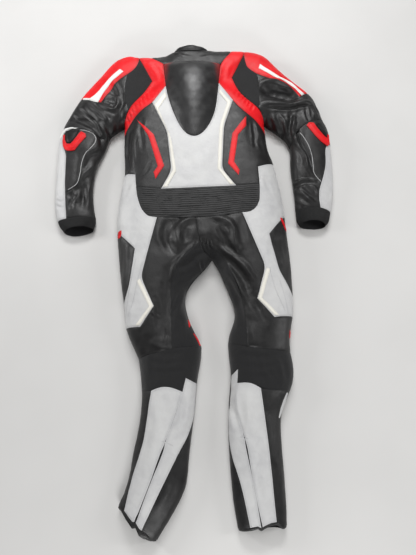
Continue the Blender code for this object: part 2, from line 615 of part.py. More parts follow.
def fold_rise(points):
    out = np.zeros(len(points))
    for row in FOLDS:
        gap = segment_distance(points, *fold_ends(row))
        out += row["rise"] * np.exp(-(gap / row["width"]) ** 2)
    return out


def back_height(points):
    depth = edge_distance(points)
    crown, reach = section_fields(points)
    arch = (crown - EDGE_HEIGHT) * rounded(depth / reach)
    return EDGE_HEIGHT + arch + hump_rise(points) + fold_rise(points) * np.clip(depth / FOLD_FADE, 0, 1)


def front_height(points):
    return EDGE_HEIGHT * (1 - rounded(edge_distance(points) / EDGE_REACH))


def edge_normals(edge):
    """An edge's points, each with the level direction out of the outline."""
    for p in edge.points():
        s = edge.nearest(p)[0]
        along = edge.at(min(s + CURVE_STEP, edge.length[-1])) - edge.at(max(s - CURVE_STEP, 0))
        yield p, np.array([along[1], -along[0]]) / np.linalg.norm(along)


def places_and_normals(points, on_edge, height, up):
    """Where a sheet's points are in space, and which way is out of the suit there."""
    flat = np.array(points, float)
    ahead, aside = (SLOPE_STEP, 0), (0, SLOPE_STEP)
    slope_x = (height(flat + ahead) - height(flat - ahead)) / (2 * SLOPE_STEP)
    slope_y = (height(flat + aside) - height(flat - aside)) / (2 * SLOPE_STEP)
    normals = np.stack([-slope_x, -slope_y, np.ones(len(flat))], axis=1) * up
    normals /= np.linalg.norm(normals, axis=1)[:, None]
    places = np.column_stack([flat, height(flat)])
    for k, normal in on_edge.items():
        places[k, 2] = EDGE_HEIGHT
        normals[k] = (*normal, 0)
    return places, normals


# The points that fill a sheet between its seams.

class Filling:
    """Collects points that keep clear of the curves and of each other."""

    def __init__(self, curves, runs):
        self.dense = np.vstack([curve.dense for curve in curves])
        self.lines = np.vstack([np.array(run) for run in runs])
        self.points = []

    def add(self, p, gap, seam_gap):
        if np.min(((self.dense - p) ** 2).sum(1)) < seam_gap ** 2:
            return
        if np.min(((self.lines - p) ** 2).sum(1)) < gap ** 2:
            return
        if self.points and np.min(((np.array(self.points) - p) ** 2).sum(1)) < gap ** 2:
            return
        self.points.append(p)

    def add_edge_rows(self, edges, rows):
        """Rows of points that follow the edge."""
        for edge in edges:
            places = np.array(edge.points())
            for row, every in rows:
                tangent = np.gradient(places, axis=0)
                inward = np.column_stack([-tangent[:, 1], tangent[:, 0]])
                inward /= np.linalg.norm(inward, axis=1)[:, None]
                moved = (places + inward * row)[1:-1:every]
                for p, depth in zip(moved, edge_distance(moved)):
                    if abs(depth - row) < ROW_DRIFT * row:
                        self.add(p, ROW_CLEAR * row, min(ROW_SEAM_CLEAR * row, ROW_SEAM_MOST))

    def add_fans(self, rows):
        """Points fanned round the notches of the outline, so that their slopes stay round."""
        for corner in (CROTCH, LEFT_ARMPIT, RIGHT_ARMPIT):
            for row, _ in rows:
                turns = np.arange(FAN_COUNT) * 2 * math.pi / FAN_COUNT
                ring = np.array(corner) + row * np.column_stack([np.cos(turns), np.sin(turns)])
                for p, depth in zip(ring, edge_distance(ring)):
                    if depth > FAN_DEPTH * row:
                        self.add(p, FAN_CLEAR * row, FAN_SEAM_CLEAR * row)

    def add_inside(self, points, fill):
        """The given points, then a staggered grid, where they are further in than the rows."""
        spacing = fill["spacing"]
        low, high = self.lines.min(0), self.lines.max(0)
        count_x = int((high[0] - low[0]) / spacing) + 2
        count_y = int((high[1] - low[1]) / (spacing * GRID_ROW)) + 1
        grid = [(low[0] + (i + 0.5 * (j % 2)) * spacing, low[1] + j * spacing * GRID_ROW)
                for j in range(count_y) for i in range(count_x)]
        tried = np.array(points + grid, float)
        deepest = fill["rows"][-1][0] + GRID_MARGIN * spacing
        for p in tried[edge_distance(tried) > deepest]:
            self.add(p, fill["clear"], fill["clear"] * GRID_SEAM_CLEAR)


def fold_points():
    """Three rows of points along each fold: on its line and at its width on both sides."""
    out = []
    for row in FOLDS:
        a, b = np.array(fold_ends(row), float)
        length = np.linalg.norm(b - a)
        along = (b - a) / length
        across = np.array((-along[1], along[0]))
        count = max(1, round(length / FOLD_STEP))
        for offset in (0.0, row["width"], -row["width"]):
            out += [tuple(a + along * length * k / count + across * offset) for k in range(count + 1)]
    return out


def rib_rows():
    """Rows of points over the stretch part of the lumbar panel, every other one raised."""
    half = LUMBAR_FIELD["half_width"]
    rows = []
    for y in np.linspace(LUMBAR_FIELD["low"], LUMBAR_FIELD["high"], 2 * LUMBAR_RIBS + 1):
        rows.append([(x, y + LUMBAR_FIELD["tilt"] * x) for x in np.linspace(-half, half, LUMBAR_RIB_COLUMNS)])
    return rows


# The sheets' triangles.

class Sheet:
    """One of the two sheets, cut along its curves into triangles that share the points of the seams."""

    def __init__(self, edges, rims, seams, fill, height, up):
        self.flat_points, self.lines, self.labels, self.cells = [], [], [], {}
        self.curves = edges + rims + seams
        for seam in seams:
            seam.add_row_knots(fill["rows"])
        self.runs = [curve.points() for curve in self.curves]
        for run in self.runs:
            self.draw(run, "cut")
        self.edges, self.fill, self.height, self.up = edges, fill, height, up
        self.rib_numbers = []

    def number(self, p):
        """The point's number; one within MERGE of an earlier point is that point."""
        x, y = round(float(p[0])), round(float(p[1]))
        for near in ((x + i, y + j) for i in (-1, 0, 1) for j in (-1, 0, 1)):
            for k in self.cells.get(near, ()):
                if math.dist(self.flat_points[k], p) < MERGE:
                    return k
        self.cells.setdefault((x, y), []).append(len(self.flat_points))
        self.flat_points.append((float(p[0]), float(p[1])))
        return len(self.flat_points) - 1

    def draw(self, run, label):
        numbers = [self.number(p) for p in run]
        for a, b in zip(numbers, numbers[1:]):
            if a != b:
                self.lines.append((a, b))
                self.labels.append(label)
        return numbers

    def draw_outline(self, name, points):
        outline = Curve(name, points + points[:1], "line")
        run = outline.points()
        self.curves.append(outline)
        self.runs.append(run)
        self.draw(run, name)

    def fill_inside(self, extra):
        filling = Filling(self.curves, self.runs)
        filling.add_edge_rows(self.edges, self.fill["rows"])
        filling.add_fans(self.fill["rows"])
        filling.add_inside(extra, self.fill)
        for p in filling.points:
            self.number(p)

    def draw_ribs(self):
        for k, row in enumerate(rib_rows()):
            numbers = self.draw(row, "rib")
            if k % 2:
                self.rib_numbers += numbers

    def triangulate(self):
        result = delaunay_2d_cdt([Vector(p) for p in self.flat_points], self.lines, [], 0, 1e-4, True)
        self.plan = [(v.x, v.y) for v in result[0]]
        became = {old: k for k, olds in enumerate(result[3]) for old in olds}
        self.raised = {became[old]: LUMBAR_RIB_HEIGHT for old in self.rib_numbers}
        self.walls = {}
        for edge, olds in zip(result[1], result[4]):
            found = {self.labels[old] for old in olds if old < len(self.lines)}
            if found:
                self.walls[frozenset(edge)] = found
        self.triangles = [tuple(face) for face in result[2] if len(face) == 3]
        self.triangles = [t if self.turn(t) > 0 else t[::-1] for t in self.triangles]
        self.by_edge = {}
        for k, t in enumerate(self.triangles):
            for pair in zip(t, t[1:] + t[:1]):
                self.by_edge.setdefault(frozenset(pair), []).append(k)
        self.edge_numbers, on_edge = [], {}
        for edge in self.edges:
            for p, normal in edge_normals(edge):
                k = became[self.number(p)]
                self.edge_numbers.append(k)
                total = on_edge.get(k, 0) + normal
                on_edge[k] = total / np.linalg.norm(total)
        self.places, self.normals = places_and_normals(self.plan, on_edge, self.height, self.up)

    def turn(self, t):
        (ax, ay), (bx, by), (cx, cy) = (self.plan[k] for k in t)
        return (bx - ax) * (cy - ay) - (by - ay) * (cx - ax)

    def holds(self, t, seed):
        p = [np.array(self.plan[k]) for k in t]
        s = np.array(seed, float)
        return all((b - a)[0] * (s - a)[1] - (b - a)[1] * (s - a)[0] >= 0 for a, b in zip(p, p[1:] + p[:1]))

    def area(self, seed):
        """The triangles reached from a point without crossing a cut."""
        first = next(k for k, t in enumerate(self.triangles) if self.holds(t, seed))
        found, todo = {first}, [first]
        while todo:
            t = self.triangles[todo.pop()]
            for pair in zip(t, t[1:] + t[:1]):
                if "cut" in self.walls.get(frozenset(pair), ()):
                    continue
                for k in self.by_edge[frozenset(pair)]:
                    if k not in found:
                        found.add(k)
                        todo.append(k)
        return [self.triangles[k] for k in sorted(found)]

    def within(self, outline):
        """The triangles whose middles are inside a drawn outline."""
        return [t for t in self.triangles if inside(outline, np.mean([self.plan[k] for k in t], axis=0))]


def inside(outline, p):
    hit = False
    for a, b in zip(outline, np.roll(outline, -1, axis=0)):
        if (a[1] > p[1]) != (b[1] > p[1]) and p[0] < (b[0] - a[0]) * (p[1] - a[1]) / (b[1] - a[1]) + a[0]:
            hit = not hit
    return hit


def joined_sheets(back, front):
    """One numbering for both sheets, the outline's points shared, and the front's new numbers."""
    renumber = dict(zip(front.edge_numbers, back.edge_numbers))
    places, normals = list(back.places), list(back.normals)
    for k in range(len(front.plan)):
        if k not in renumber:
            renumber[k] = len(places)
            places.append(front.places[k])
            normals.append(front.normals[k])
    return np.array(places), np.array(normals), renumber


# Walls.

def rim_pull(rim, places, normals, gap):
    """How far each rim point is drawn into its panel, so that the panel's edge stands back by the gap."""
    before = {b: a for a, b in rim.items()}
    pull = {}
    for k in rim:
        inward = []
        for a, b in ((before[k], k), (k, rim[k])):
            across = np.cross(normals[k], places[b] - places[a])
            inward.append(across / np.linalg.norm(across))
        middle = inward[0] + inward[1]
        size = np.linalg.norm(middle)
        if size < 1e-6:
            pull[k] = np.zeros(3)
            continue
        middle /= size
        pull[k] = middle * min(gap / max(middle @ inward[0], 0.05), MITRE_LIMIT * gap)
    return pull


def wall_mesh(triangles, places, normals, outer, thickness, gap, raised=None):
    """A closed wall from outward triangles: the points moved out, the points behind them, and a rim."""
    directed = {pair for t in triangles for pair in zip(t, t[1:] + t[:1])}
    rim = {a: b for a, b in directed if (b, a) not in directed}
    pull = rim_pull(rim, places, normals, gap)
    raised = raised or {}
    points, place_of = [], {}
    for k in sorted({k for t in triangles for k in t}):
        base = places[k] + pull.get(k, 0)
        place_of[k] = len(points)
        points.append(base + normals[k] * (outer + raised.get(k, 0)))
        points.append(base + normals[k] * (outer - thickness))
    faces = []
    for t in triangles:
        a, b, c = (place_of[k] for k in t)
        faces += [(a, b, c), (c + 1, b + 1, a + 1)]
    for a, b in rim.items():
        low, high = place_of[a], place_of[b]
        if a < b:
            faces += [(high, low, high + 1), (low, low + 1, high + 1)]
        else:
            faces += [(high, low, low + 1), (high, low + 1, high + 1)]
    return np.array(points), faces


def make_material(name):
    colour, roughness = COLOURS[name]
    material = bpy.data.materials.get(name) or bpy.data.materials.new(name)
    material.use_nodes = True
    shader = material.node_tree.nodes["Principled BSDF"]
    shader.inputs["Base Color"].default_value = (*colour, 1)
    shader.inputs["Roughness"].default_value = roughness
    return material


def add_piece(row, wall, root):
    points, faces = wall
    centre = points.mean(0)
    mesh = bpy.data.meshes.new(row["name"])
    mesh.from_pydata([tuple(p * MM) for p in points - centre], [], faces)
    mesh.materials.append(make_material(row["material"]))
    piece = bpy.data.objects.new(row["name"], mesh)
    piece.location = centre * MM
    piece.parent = root
    bpy.context.scene.collection.objects.link(piece)


def stand_on_floor(root):
    """Moves the suit so that its outline box is centred on the origin and its underside is at Z = 0."""
    bpy.context.view_layer.update()
    corners = np.array([piece.matrix_world @ v.co for piece in root.children for v in piece.data.vertices])
    low, high = corners.min(0), corners.max(0)
    root.location = (-(low[0] + high[0]) / 2, -(low[1] + high[1]) / 2, -low[2])


def main():
    for thing in list(bpy.data.objects):
        bpy.data.objects.remove(thing)
    edges, back_rims, front_rims = curves_of(EDGES), curves_of(BACK_RIMS), curves_of(FRONT_RIMS)
    back_seams = seams_of(BACK_SEAMS, edges + back_rims)
    front_seams = seams_of(FRONT_SEAMS, edges + front_rims)

    back = Sheet(edges, back_rims, back_seams, FILLS["back"], back_height, 1)
    for row in APPLIQUES:
        back.draw_outline(row["name"], row["points"])
    back.fill_inside(fold_points())
    back.draw_ribs()
    back.triangulate()
    front = Sheet(edges, front_rims, front_seams, FILLS["front"], front_height, -1)
    front.fill_inside([])
    front.triangulate()
    places, normals, renumber = joined_sheets(back, front)

    root = bpy.data.objects.new("race_suit", None)
    bpy.context.scene.collection.objects.link(root)
    for row in PANELS:
        triangles = [t for seed in row["back"] for t in back.area(seed)]
        for seed in row["front"]:
            triangles += [tuple(renumber[k] for k in t[::-1]) for t in front.area(seed)]
        if row["material"] == "zip_tape":
            wall = wall_mesh(triangles, places, normals, -ZIP_DROP, ZIP_WALL, SEAM_GAP / 2)
        elif row["name"] == "lumbar":
            wall = wall_mesh(triangles, places, normals, 0, WALL, SEAM_GAP / 2, back.raised)
        else:
            wall = wall_mesh(triangles, places, normals, 0, WALL, SEAM_GAP / 2)
        add_piece(row, wall, root)
    for row in APPLIQUES:
        triangles = back.within(np.array(row["points"], float))
        wall = wall_mesh(triangles, places, normals, SEAM_GAP + APPLIQUE_WALL, APPLIQUE_WALL, 0)
        add_piece(row, wall, root)
    stand_on_floor(root)


main()
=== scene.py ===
import json
import math

import bmesh
import bpy
import numpy as np
from mathutils import Matrix, Vector, noise
from mathutils.bvhtree import BVHTree


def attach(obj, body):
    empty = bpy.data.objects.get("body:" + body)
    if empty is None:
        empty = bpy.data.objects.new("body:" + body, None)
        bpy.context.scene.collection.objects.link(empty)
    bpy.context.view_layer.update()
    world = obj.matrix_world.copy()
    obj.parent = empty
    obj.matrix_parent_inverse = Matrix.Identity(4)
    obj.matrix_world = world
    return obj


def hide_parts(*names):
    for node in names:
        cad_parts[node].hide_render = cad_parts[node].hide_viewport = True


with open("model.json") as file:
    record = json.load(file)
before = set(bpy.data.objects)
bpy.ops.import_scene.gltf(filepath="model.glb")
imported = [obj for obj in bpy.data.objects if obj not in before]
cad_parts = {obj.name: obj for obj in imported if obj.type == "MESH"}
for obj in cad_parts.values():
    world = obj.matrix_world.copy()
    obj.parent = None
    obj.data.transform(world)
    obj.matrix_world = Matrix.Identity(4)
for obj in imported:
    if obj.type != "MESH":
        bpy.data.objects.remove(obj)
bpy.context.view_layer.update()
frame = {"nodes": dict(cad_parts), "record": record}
nodes = frame["nodes"]
mm = 0.001
patternZero = np.array((11.35, 3.0))     # where the cutting plan's zero lies in the frame, in mm
print("frame loaded:", len(nodes), "nodes")


def placed(name, data):
    # a new object in the scene, at the origin
    made = bpy.data.objects.new(name, data)
    bpy.context.scene.collection.objects.link(made)
    return made


def newObject(name, bm):
    mesh = bpy.data.meshes.new(name)
    bm.to_mesh(mesh)
    bm.free()
    return placed(name, mesh)


def loaded(mesh):
    bm = bmesh.new()
    bm.from_mesh(mesh)
    return bm


def modified(made):
    # an object's mesh with its modifiers applied
    graph = bpy.context.evaluated_depsgraph_get()
    return bpy.data.meshes.new_from_object(made.evaluated_get(graph))


# camera, floor and light

view = {
    "place": (0.04725, -0.43849, 1.30), "tiltDegrees": 16.0,
    "sensor": 36.0, "lens": 36.0 * 416 / 555, "nearClip": 0.02,
}
studio = {
    "floorSize": 9.0, "floorColour": (0.62, 0.615, 0.605), "floorRoughness": 0.85, "floorSpecular": 0.2,
    "worldColour": (1.0, 1.0, 0.99, 1), "worldStrength": 0.12,
    "lamps": (                            # name, place, aimed at, width and depth, power
        ("key", (0.10, 2.25, 1.95), (0.0, 0.3, 0.0), (1.5, 0.45), 45),
        ("top", (-0.05, 1.35, 2.3), (0.0, 0.45, 0.0), (0.45, 2.6), 26),
        ("left", (-2.1, 0.7, 1.0), (0.0, 0.1, 0.0), (0.4, 0.7), 22),
        ("right", (2.1, -0.2, 1.05), (0.0, 0.0, 0.0), (0.4, 0.7), 15),
        ("low", (0.2, -2.2, 1.1), (0.0, -0.4, 0.0), (0.9, 0.3), 25),
    ),
}


def addCamera():
    data = bpy.data.cameras.new("camera")
    data.sensor_width = view["sensor"]
    data.lens = view["lens"]
    data.clip_start = view["nearClip"]
    camera = placed("camera", data)
    camera.location = view["place"]
    camera.rotation_euler = (math.radians(view["tiltDegrees"]), 0, 0)
    bpy.context.scene.camera = camera


def addLamps():
    for name, place, aim, size, power in studio["lamps"]:
        data = bpy.data.lights.new(name, "AREA")
        data.shape = "RECTANGLE"
        data.size, data.size_y = size
        data.energy = power
        lamp = placed(name, data)
        lamp.location = place
        lamp.rotation_euler = (Vector(aim) - Vector(place)).to_track_quat("-Z", "Y").to_euler()
    world = bpy.data.worlds.new("room")
    world.use_nodes = True
    back = world.node_tree.nodes["Background"]
    back.inputs["Color"].default_value = studio["worldColour"]
    back.inputs["Strength"].default_value = studio["worldStrength"]
    bpy.context.scene.world = world
    bpy.context.scene.view_settings.view_transform = "Standard"


addCamera()
addLamps()

# materials


class Graph:
    # adds nodes to a material and joins them

    def __init__(self, name):
        self.material = bpy.data.materials.new(name)
        self.material.use_nodes = True
        self.tree = self.material.node_tree
        self.shader = self.tree.nodes["Principled BSDF"]
        self.place = self.add("TexCoord").outputs["Object"]

    def give(self, socket, value):
        # joins another node's output to a socket, or sets its number or colour
        if isinstance(value, bpy.types.NodeSocket):
            self.tree.links.new(value, socket)
        else:
            socket.default_value = (*value[:3], 1) if socket.type == "RGBA" else value

    def add(self, kind, inputs=None, **settings):
        node = self.tree.nodes.new("ShaderNode" + kind)
        for key, value in settings.items():
            setattr(node, key, value)
        for key, value in (inputs or {}).items():
            self.give(node.inputs[key], value)
        return node

    def scalar(self, operation, a, b=0.0, c=0.0):
        return self.add("Math", {0: a, 1: b, 2: c}, operation=operation).outputs[0]

    def spread(self, value, low, high, outLow=0.0, outHigh=1.0):
        return self.add("MapRange", {"Value": value, "From Min": low, "From Max": high, "To Min": outLow,
                                     "To Max": outHigh}, interpolation_type="SMOOTHSTEP").outputs["Result"]

    def noise(self, size, detail=3.0, roughness=0.5, distortion=0.0):
        return self.add("TexNoise", {"Vector": self.place, "Scale": 1 / size, "Detail": detail,
                                     "Roughness": roughness, "Distortion": distortion}).outputs["Fac"]

    def cells(self, size, feature="DISTANCE_TO_EDGE"):
        return self.add("TexVoronoi", {"Vector": self.place, "Scale": 1 / size},
                        feature=feature).outputs["Distance"]

    def bands(self, spacing, direction, wander):
        # soft bands a given distance apart: the threads of a weave, the ribs of a knit
        turn = 6.3      # the wave's phase from one band to the next
        return self.add("TexWave", {"Vector": self.place, "Scale": 1 / (turn * spacing * mm),
                                    "Distortion": wander, "Detail": 1.0},
                        bands_direction=direction).outputs["Fac"]

    def mix(self, amount, a, b):
        return self.add("Mix", {"Factor": amount, 6: a, 7: b}, data_type="RGBA").outputs[2]

    def attribute(self, name):
        return self.add("Attribute", attribute_name=name).outputs["Fac"]

    def bump(self, height, depth, before=None):
        node = self.add("Bump", {"Height": height, "Distance": depth, "Strength": 1.0})
        if before is not None:
            self.tree.links.new(before, node.inputs["Normal"])
        return node.outputs["Normal"]

    def finish(self, colour, roughness, normal, specular=0.5, sheen=(0.0, 0.5), metallic=0.0):
        values = {"Base Color": colour, "Roughness": roughness, "Normal": normal, "Metallic": metallic,
                  "Specular IOR Level": specular, "Sheen Weight": sheen[0], "Sheen Roughness": sheen[1]}
        for socket, value in values.items():
            self.give(self.shader.inputs[socket], value)
        return self.material


hide = {      # what all the leathers share: sizes and depths in mm first, then ranges and shares
    "pore": 0.45, "poreDepth": 0.014, "slack": 19, "broad": 85, "seamReach": (1.0, 11.0),
    "grainTop": 0.32, "crack": 0.1, "crackRoughness": 0.1, "broadRange": (0.32, 0.68),
    "lightRange": (0.35, 0.75), "lightShare": 0.35, "roughRange": (0.25, 0.8), "roughSwing": (-0.05, 0.07),
}


def leather(name, look):
    g = Graph(name)
    seam = g.attribute("seamDistance")
    grain = g.cells(look["grain"] * mm)
    pores = g.noise(hide["pore"] * mm, 2, 0.6)
    slack = g.noise(hide["slack"] * mm, 3, 0.5, 0.6)
    broad = g.noise(hide["broad"] * mm, 3, 0.5, 0.3)
    seamShadeMask = g.spread(seam, *hide["seamReach"], 1.0, 0.0)
    lightPatch = g.spread(slack, *hide["lightRange"])
    grainCrack = g.spread(grain, 0.0, hide["crack"], 1.0, 0.0)
    colour = g.mix(g.spread(broad, *hide["broadRange"]), look["dark"], look["colour"])
    colour = g.mix(g.scalar("MULTIPLY", lightPatch, hide["lightShare"]), colour, look["light"])
    colour = g.mix(g.scalar("MULTIPLY", grainCrack, look["poreShade"]), colour, look["dark"])
    # painted shade: the colour darkens towards the seams, where the panels dip
    colour = g.mix(g.scalar("MULTIPLY", seamShadeMask, look["seamShade"]), colour, look["seamColour"])
    roughness = [look["roughness"] + swing for swing in hide["roughSwing"]]
    rough = g.spread(slack, *hide["roughRange"], *roughness)
    wideCrack = g.spread(grain, 0.0, 2 * hide["crack"], 1.0, 0.0)
    rough = g.scalar("MULTIPLY_ADD", wideCrack, hide["crackRoughness"], rough)
    normal = g.bump(slack, look["slack"] * mm)
    normal = g.bump(g.spread(grain, 0.0, hide["grainTop"]), look["grainDepth"] * mm, normal)
    normal = g.bump(pores, hide["poreDepth"] * mm, normal)
    return g.finish(colour, rough, normal, look["specular"], look["sheen"])


matt = (0.0, 0.5)      # no sheen; otherwise its weight and roughness
looks = {
    # the seam colour and seamShade of each look are painted shade along its seams
    "black_leather": {
        "colour": (0.0095, 0.0092, 0.0094), "dark": (0.006, 0.0058, 0.006),
        "light": (0.018, 0.0175, 0.0175),
        "seamColour": (0.006, 0.006, 0.006), "seamShade": 0.5, "poreShade": 0.35,
        "roughness": 0.43, "grain": 1.5, "grainDepth": 0.06, "slack": 0.4, "specular": 0.42, "sheen": matt,
    },
    "silver_leather": {
        "colour": (0.54, 0.54, 0.535), "dark": (0.47, 0.47, 0.475), "light": (0.61, 0.61, 0.605),
        "seamColour": (0.40, 0.40, 0.41), "seamShade": 0.35, "poreShade": 0.2,
        "roughness": 0.42, "grain": 1.4, "grainDepth": 0.07, "slack": 0.6, "specular": 0.55,
        "sheen": (0.1, 0.4),
    },
    "red_leather": {
        "colour": (0.78, 0.006, 0.012), "dark": (0.62, 0.004, 0.008), "light": (0.86, 0.012, 0.018),
        "seamColour": (0.45, 0.003, 0.005), "seamShade": 0.45, "poreShade": 0.25,
        "roughness": 0.46, "grain": 1.4, "grainDepth": 0.05, "slack": 0.5, "specular": 0.30, "sheen": matt,
    },
    "cream_leather": {
        "colour": (0.80, 0.78, 0.71), "dark": (0.72, 0.70, 0.63), "light": (0.86, 0.84, 0.78),
        "seamColour": (0.55, 0.53, 0.48), "seamShade": 0.3, "poreShade": 0.2,
        "roughness": 0.44, "grain": 1.3, "grainDepth": 0.07, "slack": 0.4, "specular": 0.45, "sheen": matt,
    },
}
looks["white_leather"] = {
    **looks["cream_leather"], "colour": (0.84, 0.84, 0.82), "dark": (0.76, 0.76, 0.74),
    "light": (0.9, 0.9, 0.88), "seamColour": (0.55, 0.55, 0.54),
}
coated = {      # the coated leather of the hump; the collar and the elbow pads have it with less shine
    "black_gloss": 0.6, "black_dull": 0.26,
    "colours": ((0.0065, 0.0065, 0.007), (0.012, 0.012, 0.0125)), "red": (0.70, 0.012, 0.010),
    # the edge colour, its reach and its share are painted shade along the seams
    "edge": (0.005, 0.005, 0.005), "edgeReach": (0.5, 4.0), "edgeShade": 0.5, "roughness": (0.42, 0.45),
    "grain": 1.2, "grainDepth": 0.03, "slack": 30, "slackDepth": 0.04, "speck": 3, "speckShare": 0.25,
}


def coatedLeather(name):
    g = Graph(name)
    seam = g.attribute("seamDistance")
    red = g.attribute("redFade")
    grain = g.cells(coated["grain"] * mm)
    slack = g.noise(coated["slack"] * mm, 4, 0.5, 0.4)
    speck = g.noise(coated["speck"] * mm, 3, 0.6)
    black = g.mix(g.spread(slack, 0.3, 0.7), *coated["colours"])
    fade = g.scalar("MULTIPLY_ADD", g.scalar("SUBTRACT", speck, 0.5), coated["speckShare"], red)
    colour = g.mix(g.spread(fade, 0.15, 1.0), black, coated["red"])
    # painted shade: the colour darkens within a few mm of the seams
    colour = g.mix(g.spread(seam, *coated["edgeReach"], coated["edgeShade"], 0.0), colour, coated["edge"])
    rough = g.spread(slack, 0.25, 0.8, *coated["roughness"])
    normal = g.bump(slack, coated["slackDepth"] * mm)
    normal = g.bump(g.spread(grain, 0.0, 0.3), coated["grainDepth"] * mm, normal)
    return g.finish(colour, rough, normal, coated[name])


stretch = {
    "warp": 0.5, "weft": 0.42, "colours": ((0.0075, 0.0075, 0.008), (0.017, 0.017, 0.018)),
    "lint": 2.5, "lintColour": (0.030, 0.030, 0.031), "lintShare": 0.5, "roughness": (0.88, 0.74),
    "slack": 24, "slackDepth": 1.0, "weaveDepth": 0.12, "specular": 0.3, "sheen": (0.12, 0.5),
}


def stretchCloth(name):
    g = Graph(name)
    warp = g.bands(stretch["warp"], "X", 0.6)
    weft = g.bands(stretch["weft"], "DIAGONAL", 0.6)
    weave = g.scalar("MULTIPLY", warp, weft)
    lint = g.noise(stretch["lint"] * mm, 4, 0.7)
    slack = g.noise(stretch["slack"] * mm, 4, 0.5, 0.5)
    colour = g.mix(weave, *stretch["colours"])
    colour = g.mix(g.spread(lint, 0.55, 0.8, 0.0, stretch["lintShare"]), colour, stretch["lintColour"])
    rough = g.spread(weave, 0.0, 1.0, *stretch["roughness"])
    normal = g.bump(slack, stretch["slackDepth"] * mm)
    normal = g.bump(weave, stretch["weaveDepth"] * mm, normal)
    return g.finish(colour, rough, normal, stretch["specular"], stretch["sheen"])


ribbed = {      # the gathered lumbar panel, whose ribs are real, and the knit of the cuffs
    # each look's two colours: the painted shade of the rib valleys, then the lighter rib tops
    "black_rib": {
        "colours": ((0.004, 0.004, 0.004), (0.017, 0.017, 0.0175)), "roughness": (0.5, 0.62),
        "stitchDepth": 0.08, "specular": 0.30, "sheen": matt,
    },
    "black_knit": {
        "colours": ((0.0025, 0.0025, 0.003), (0.011, 0.011, 0.0115)), "roughness": (0.84, 0.94),
        "stitchDepth": 0.25, "specular": 0.2, "sheen": (0.08, 0.5), "knitRib": 0.42, "knitDepth": 0.7,
    },
    "lint": 1.6, "lintColour": (0.026, 0.026, 0.026), "lintShare": 0.4, "stitch": 0.9,
}


def ribCloth(name):
    g = Graph(name)
    look = ribbed[name]
    lint = g.noise(ribbed["lint"] * mm, 4, 0.7)
    stitch = g.cells(ribbed["stitch"] * mm, "F1")
    rib = g.bands(look["knitRib"], "X", 0.4) if "knitRib" in look else g.attribute("ribHeight")
    # painted shade and highlight: darker in the rib valleys, lighter on the rib tops
    colour = g.mix(rib, *look["colours"])
    colour = g.mix(g.spread(lint, 0.5, 0.8, 0.0, ribbed["lintShare"]), colour, ribbed["lintColour"])
    rough = g.spread(lint, 0.2, 0.8, *look["roughness"])
    normal = g.bump(stitch, look["stitchDepth"] * mm)
    if "knitRib" in look:
        normal = g.bump(rib, look["knitDepth"] * mm, normal)
    return g.finish(colour, rough, normal, look["specular"], look["sheen"])


plainLooks = {      # colour, roughness, size and depth of the grain in mm, metallic
    "zip_tape": ((0.016, 0.016, 0.017), 0.8, 0.7, 0.15, 0.0),
    "lining": ((0.010, 0.010, 0.011), 0.9, 1.5, 0.2, 0.0),
    "thread_black": ((0.020, 0.020, 0.021), 0.6, 0.4, 0.05, 0.0),
    "thread_silver": ((0.48, 0.48, 0.49), 0.6, 0.4, 0.05, 0.0),
    "thread_red": ((0.60, 0.010, 0.010), 0.6, 0.4, 0.05, 0.0),
    "thread_cream": ((0.66, 0.64, 0.58), 0.6, 0.4, 0.05, 0.0),
    "zip_metal": ((0.055, 0.055, 0.058), 0.32, 2.0, 0.02, 1.0),
}
tone = {"size": 12, "shade": 0.72, "roughSwing": (-0.05, 0.08)}      # how the plain finishes vary


def plain(name, colour, roughness, grainSize, grainDepth, metallic):
    g = Graph(name)
    grain = g.noise(grainSize * mm, 3, 0.6)
    patches = g.noise(tone["size"] * mm, 3, 0.5)
    mixed = g.mix(g.spread(patches, 0.3, 0.7), tuple(tone["shade"] * c for c in colour), colour)
    rough = g.spread(grain, 0.2, 0.8, *(roughness + swing for swing in tone["roughSwing"]))
    return g.finish(mixed, rough, g.bump(grain, grainDepth * mm), metallic=metallic)


materials = {name: leather(name, look) for name, look in looks.items()}
materials.update({name: coatedLeather(name) for name in ("black_gloss", "black_dull")})
materials["black_stretch"] = stretchCloth("black_stretch")
materials.update({name: ribCloth(name) for name in ("black_rib", "black_knit")})
materials.update({name: plain(name, *look) for name, look in plainLooks.items()})


def floorMaterial():
    g = Graph("floor")
    patches = g.noise(0.4, 3, 0.5)
    grain = g.noise(2.2 * mm, 3, 0.6)
    base = studio["floorColour"]
    colour = g.mix(g.spread(patches, 0.3, 0.7), tuple(0.96 * c for c in base), base)
    return g.finish(colour, studio["floorRoughness"], g.bump(grain, 0.06 * mm), studio["floorSpecular"])


def addFloor():
    bm = bmesh.new()
    bmesh.ops.create_grid(bm, x_segments=2, y_segments=2, size=studio["floorSize"] / 2)
    floor = newObject("floor", bm)
    floor.data.materials.append(floorMaterial())


addFloor()
print("studio and materials ready")

# folds: soft troughs and ridges in the cutting plan's mm. A trough has a ridge on each side.

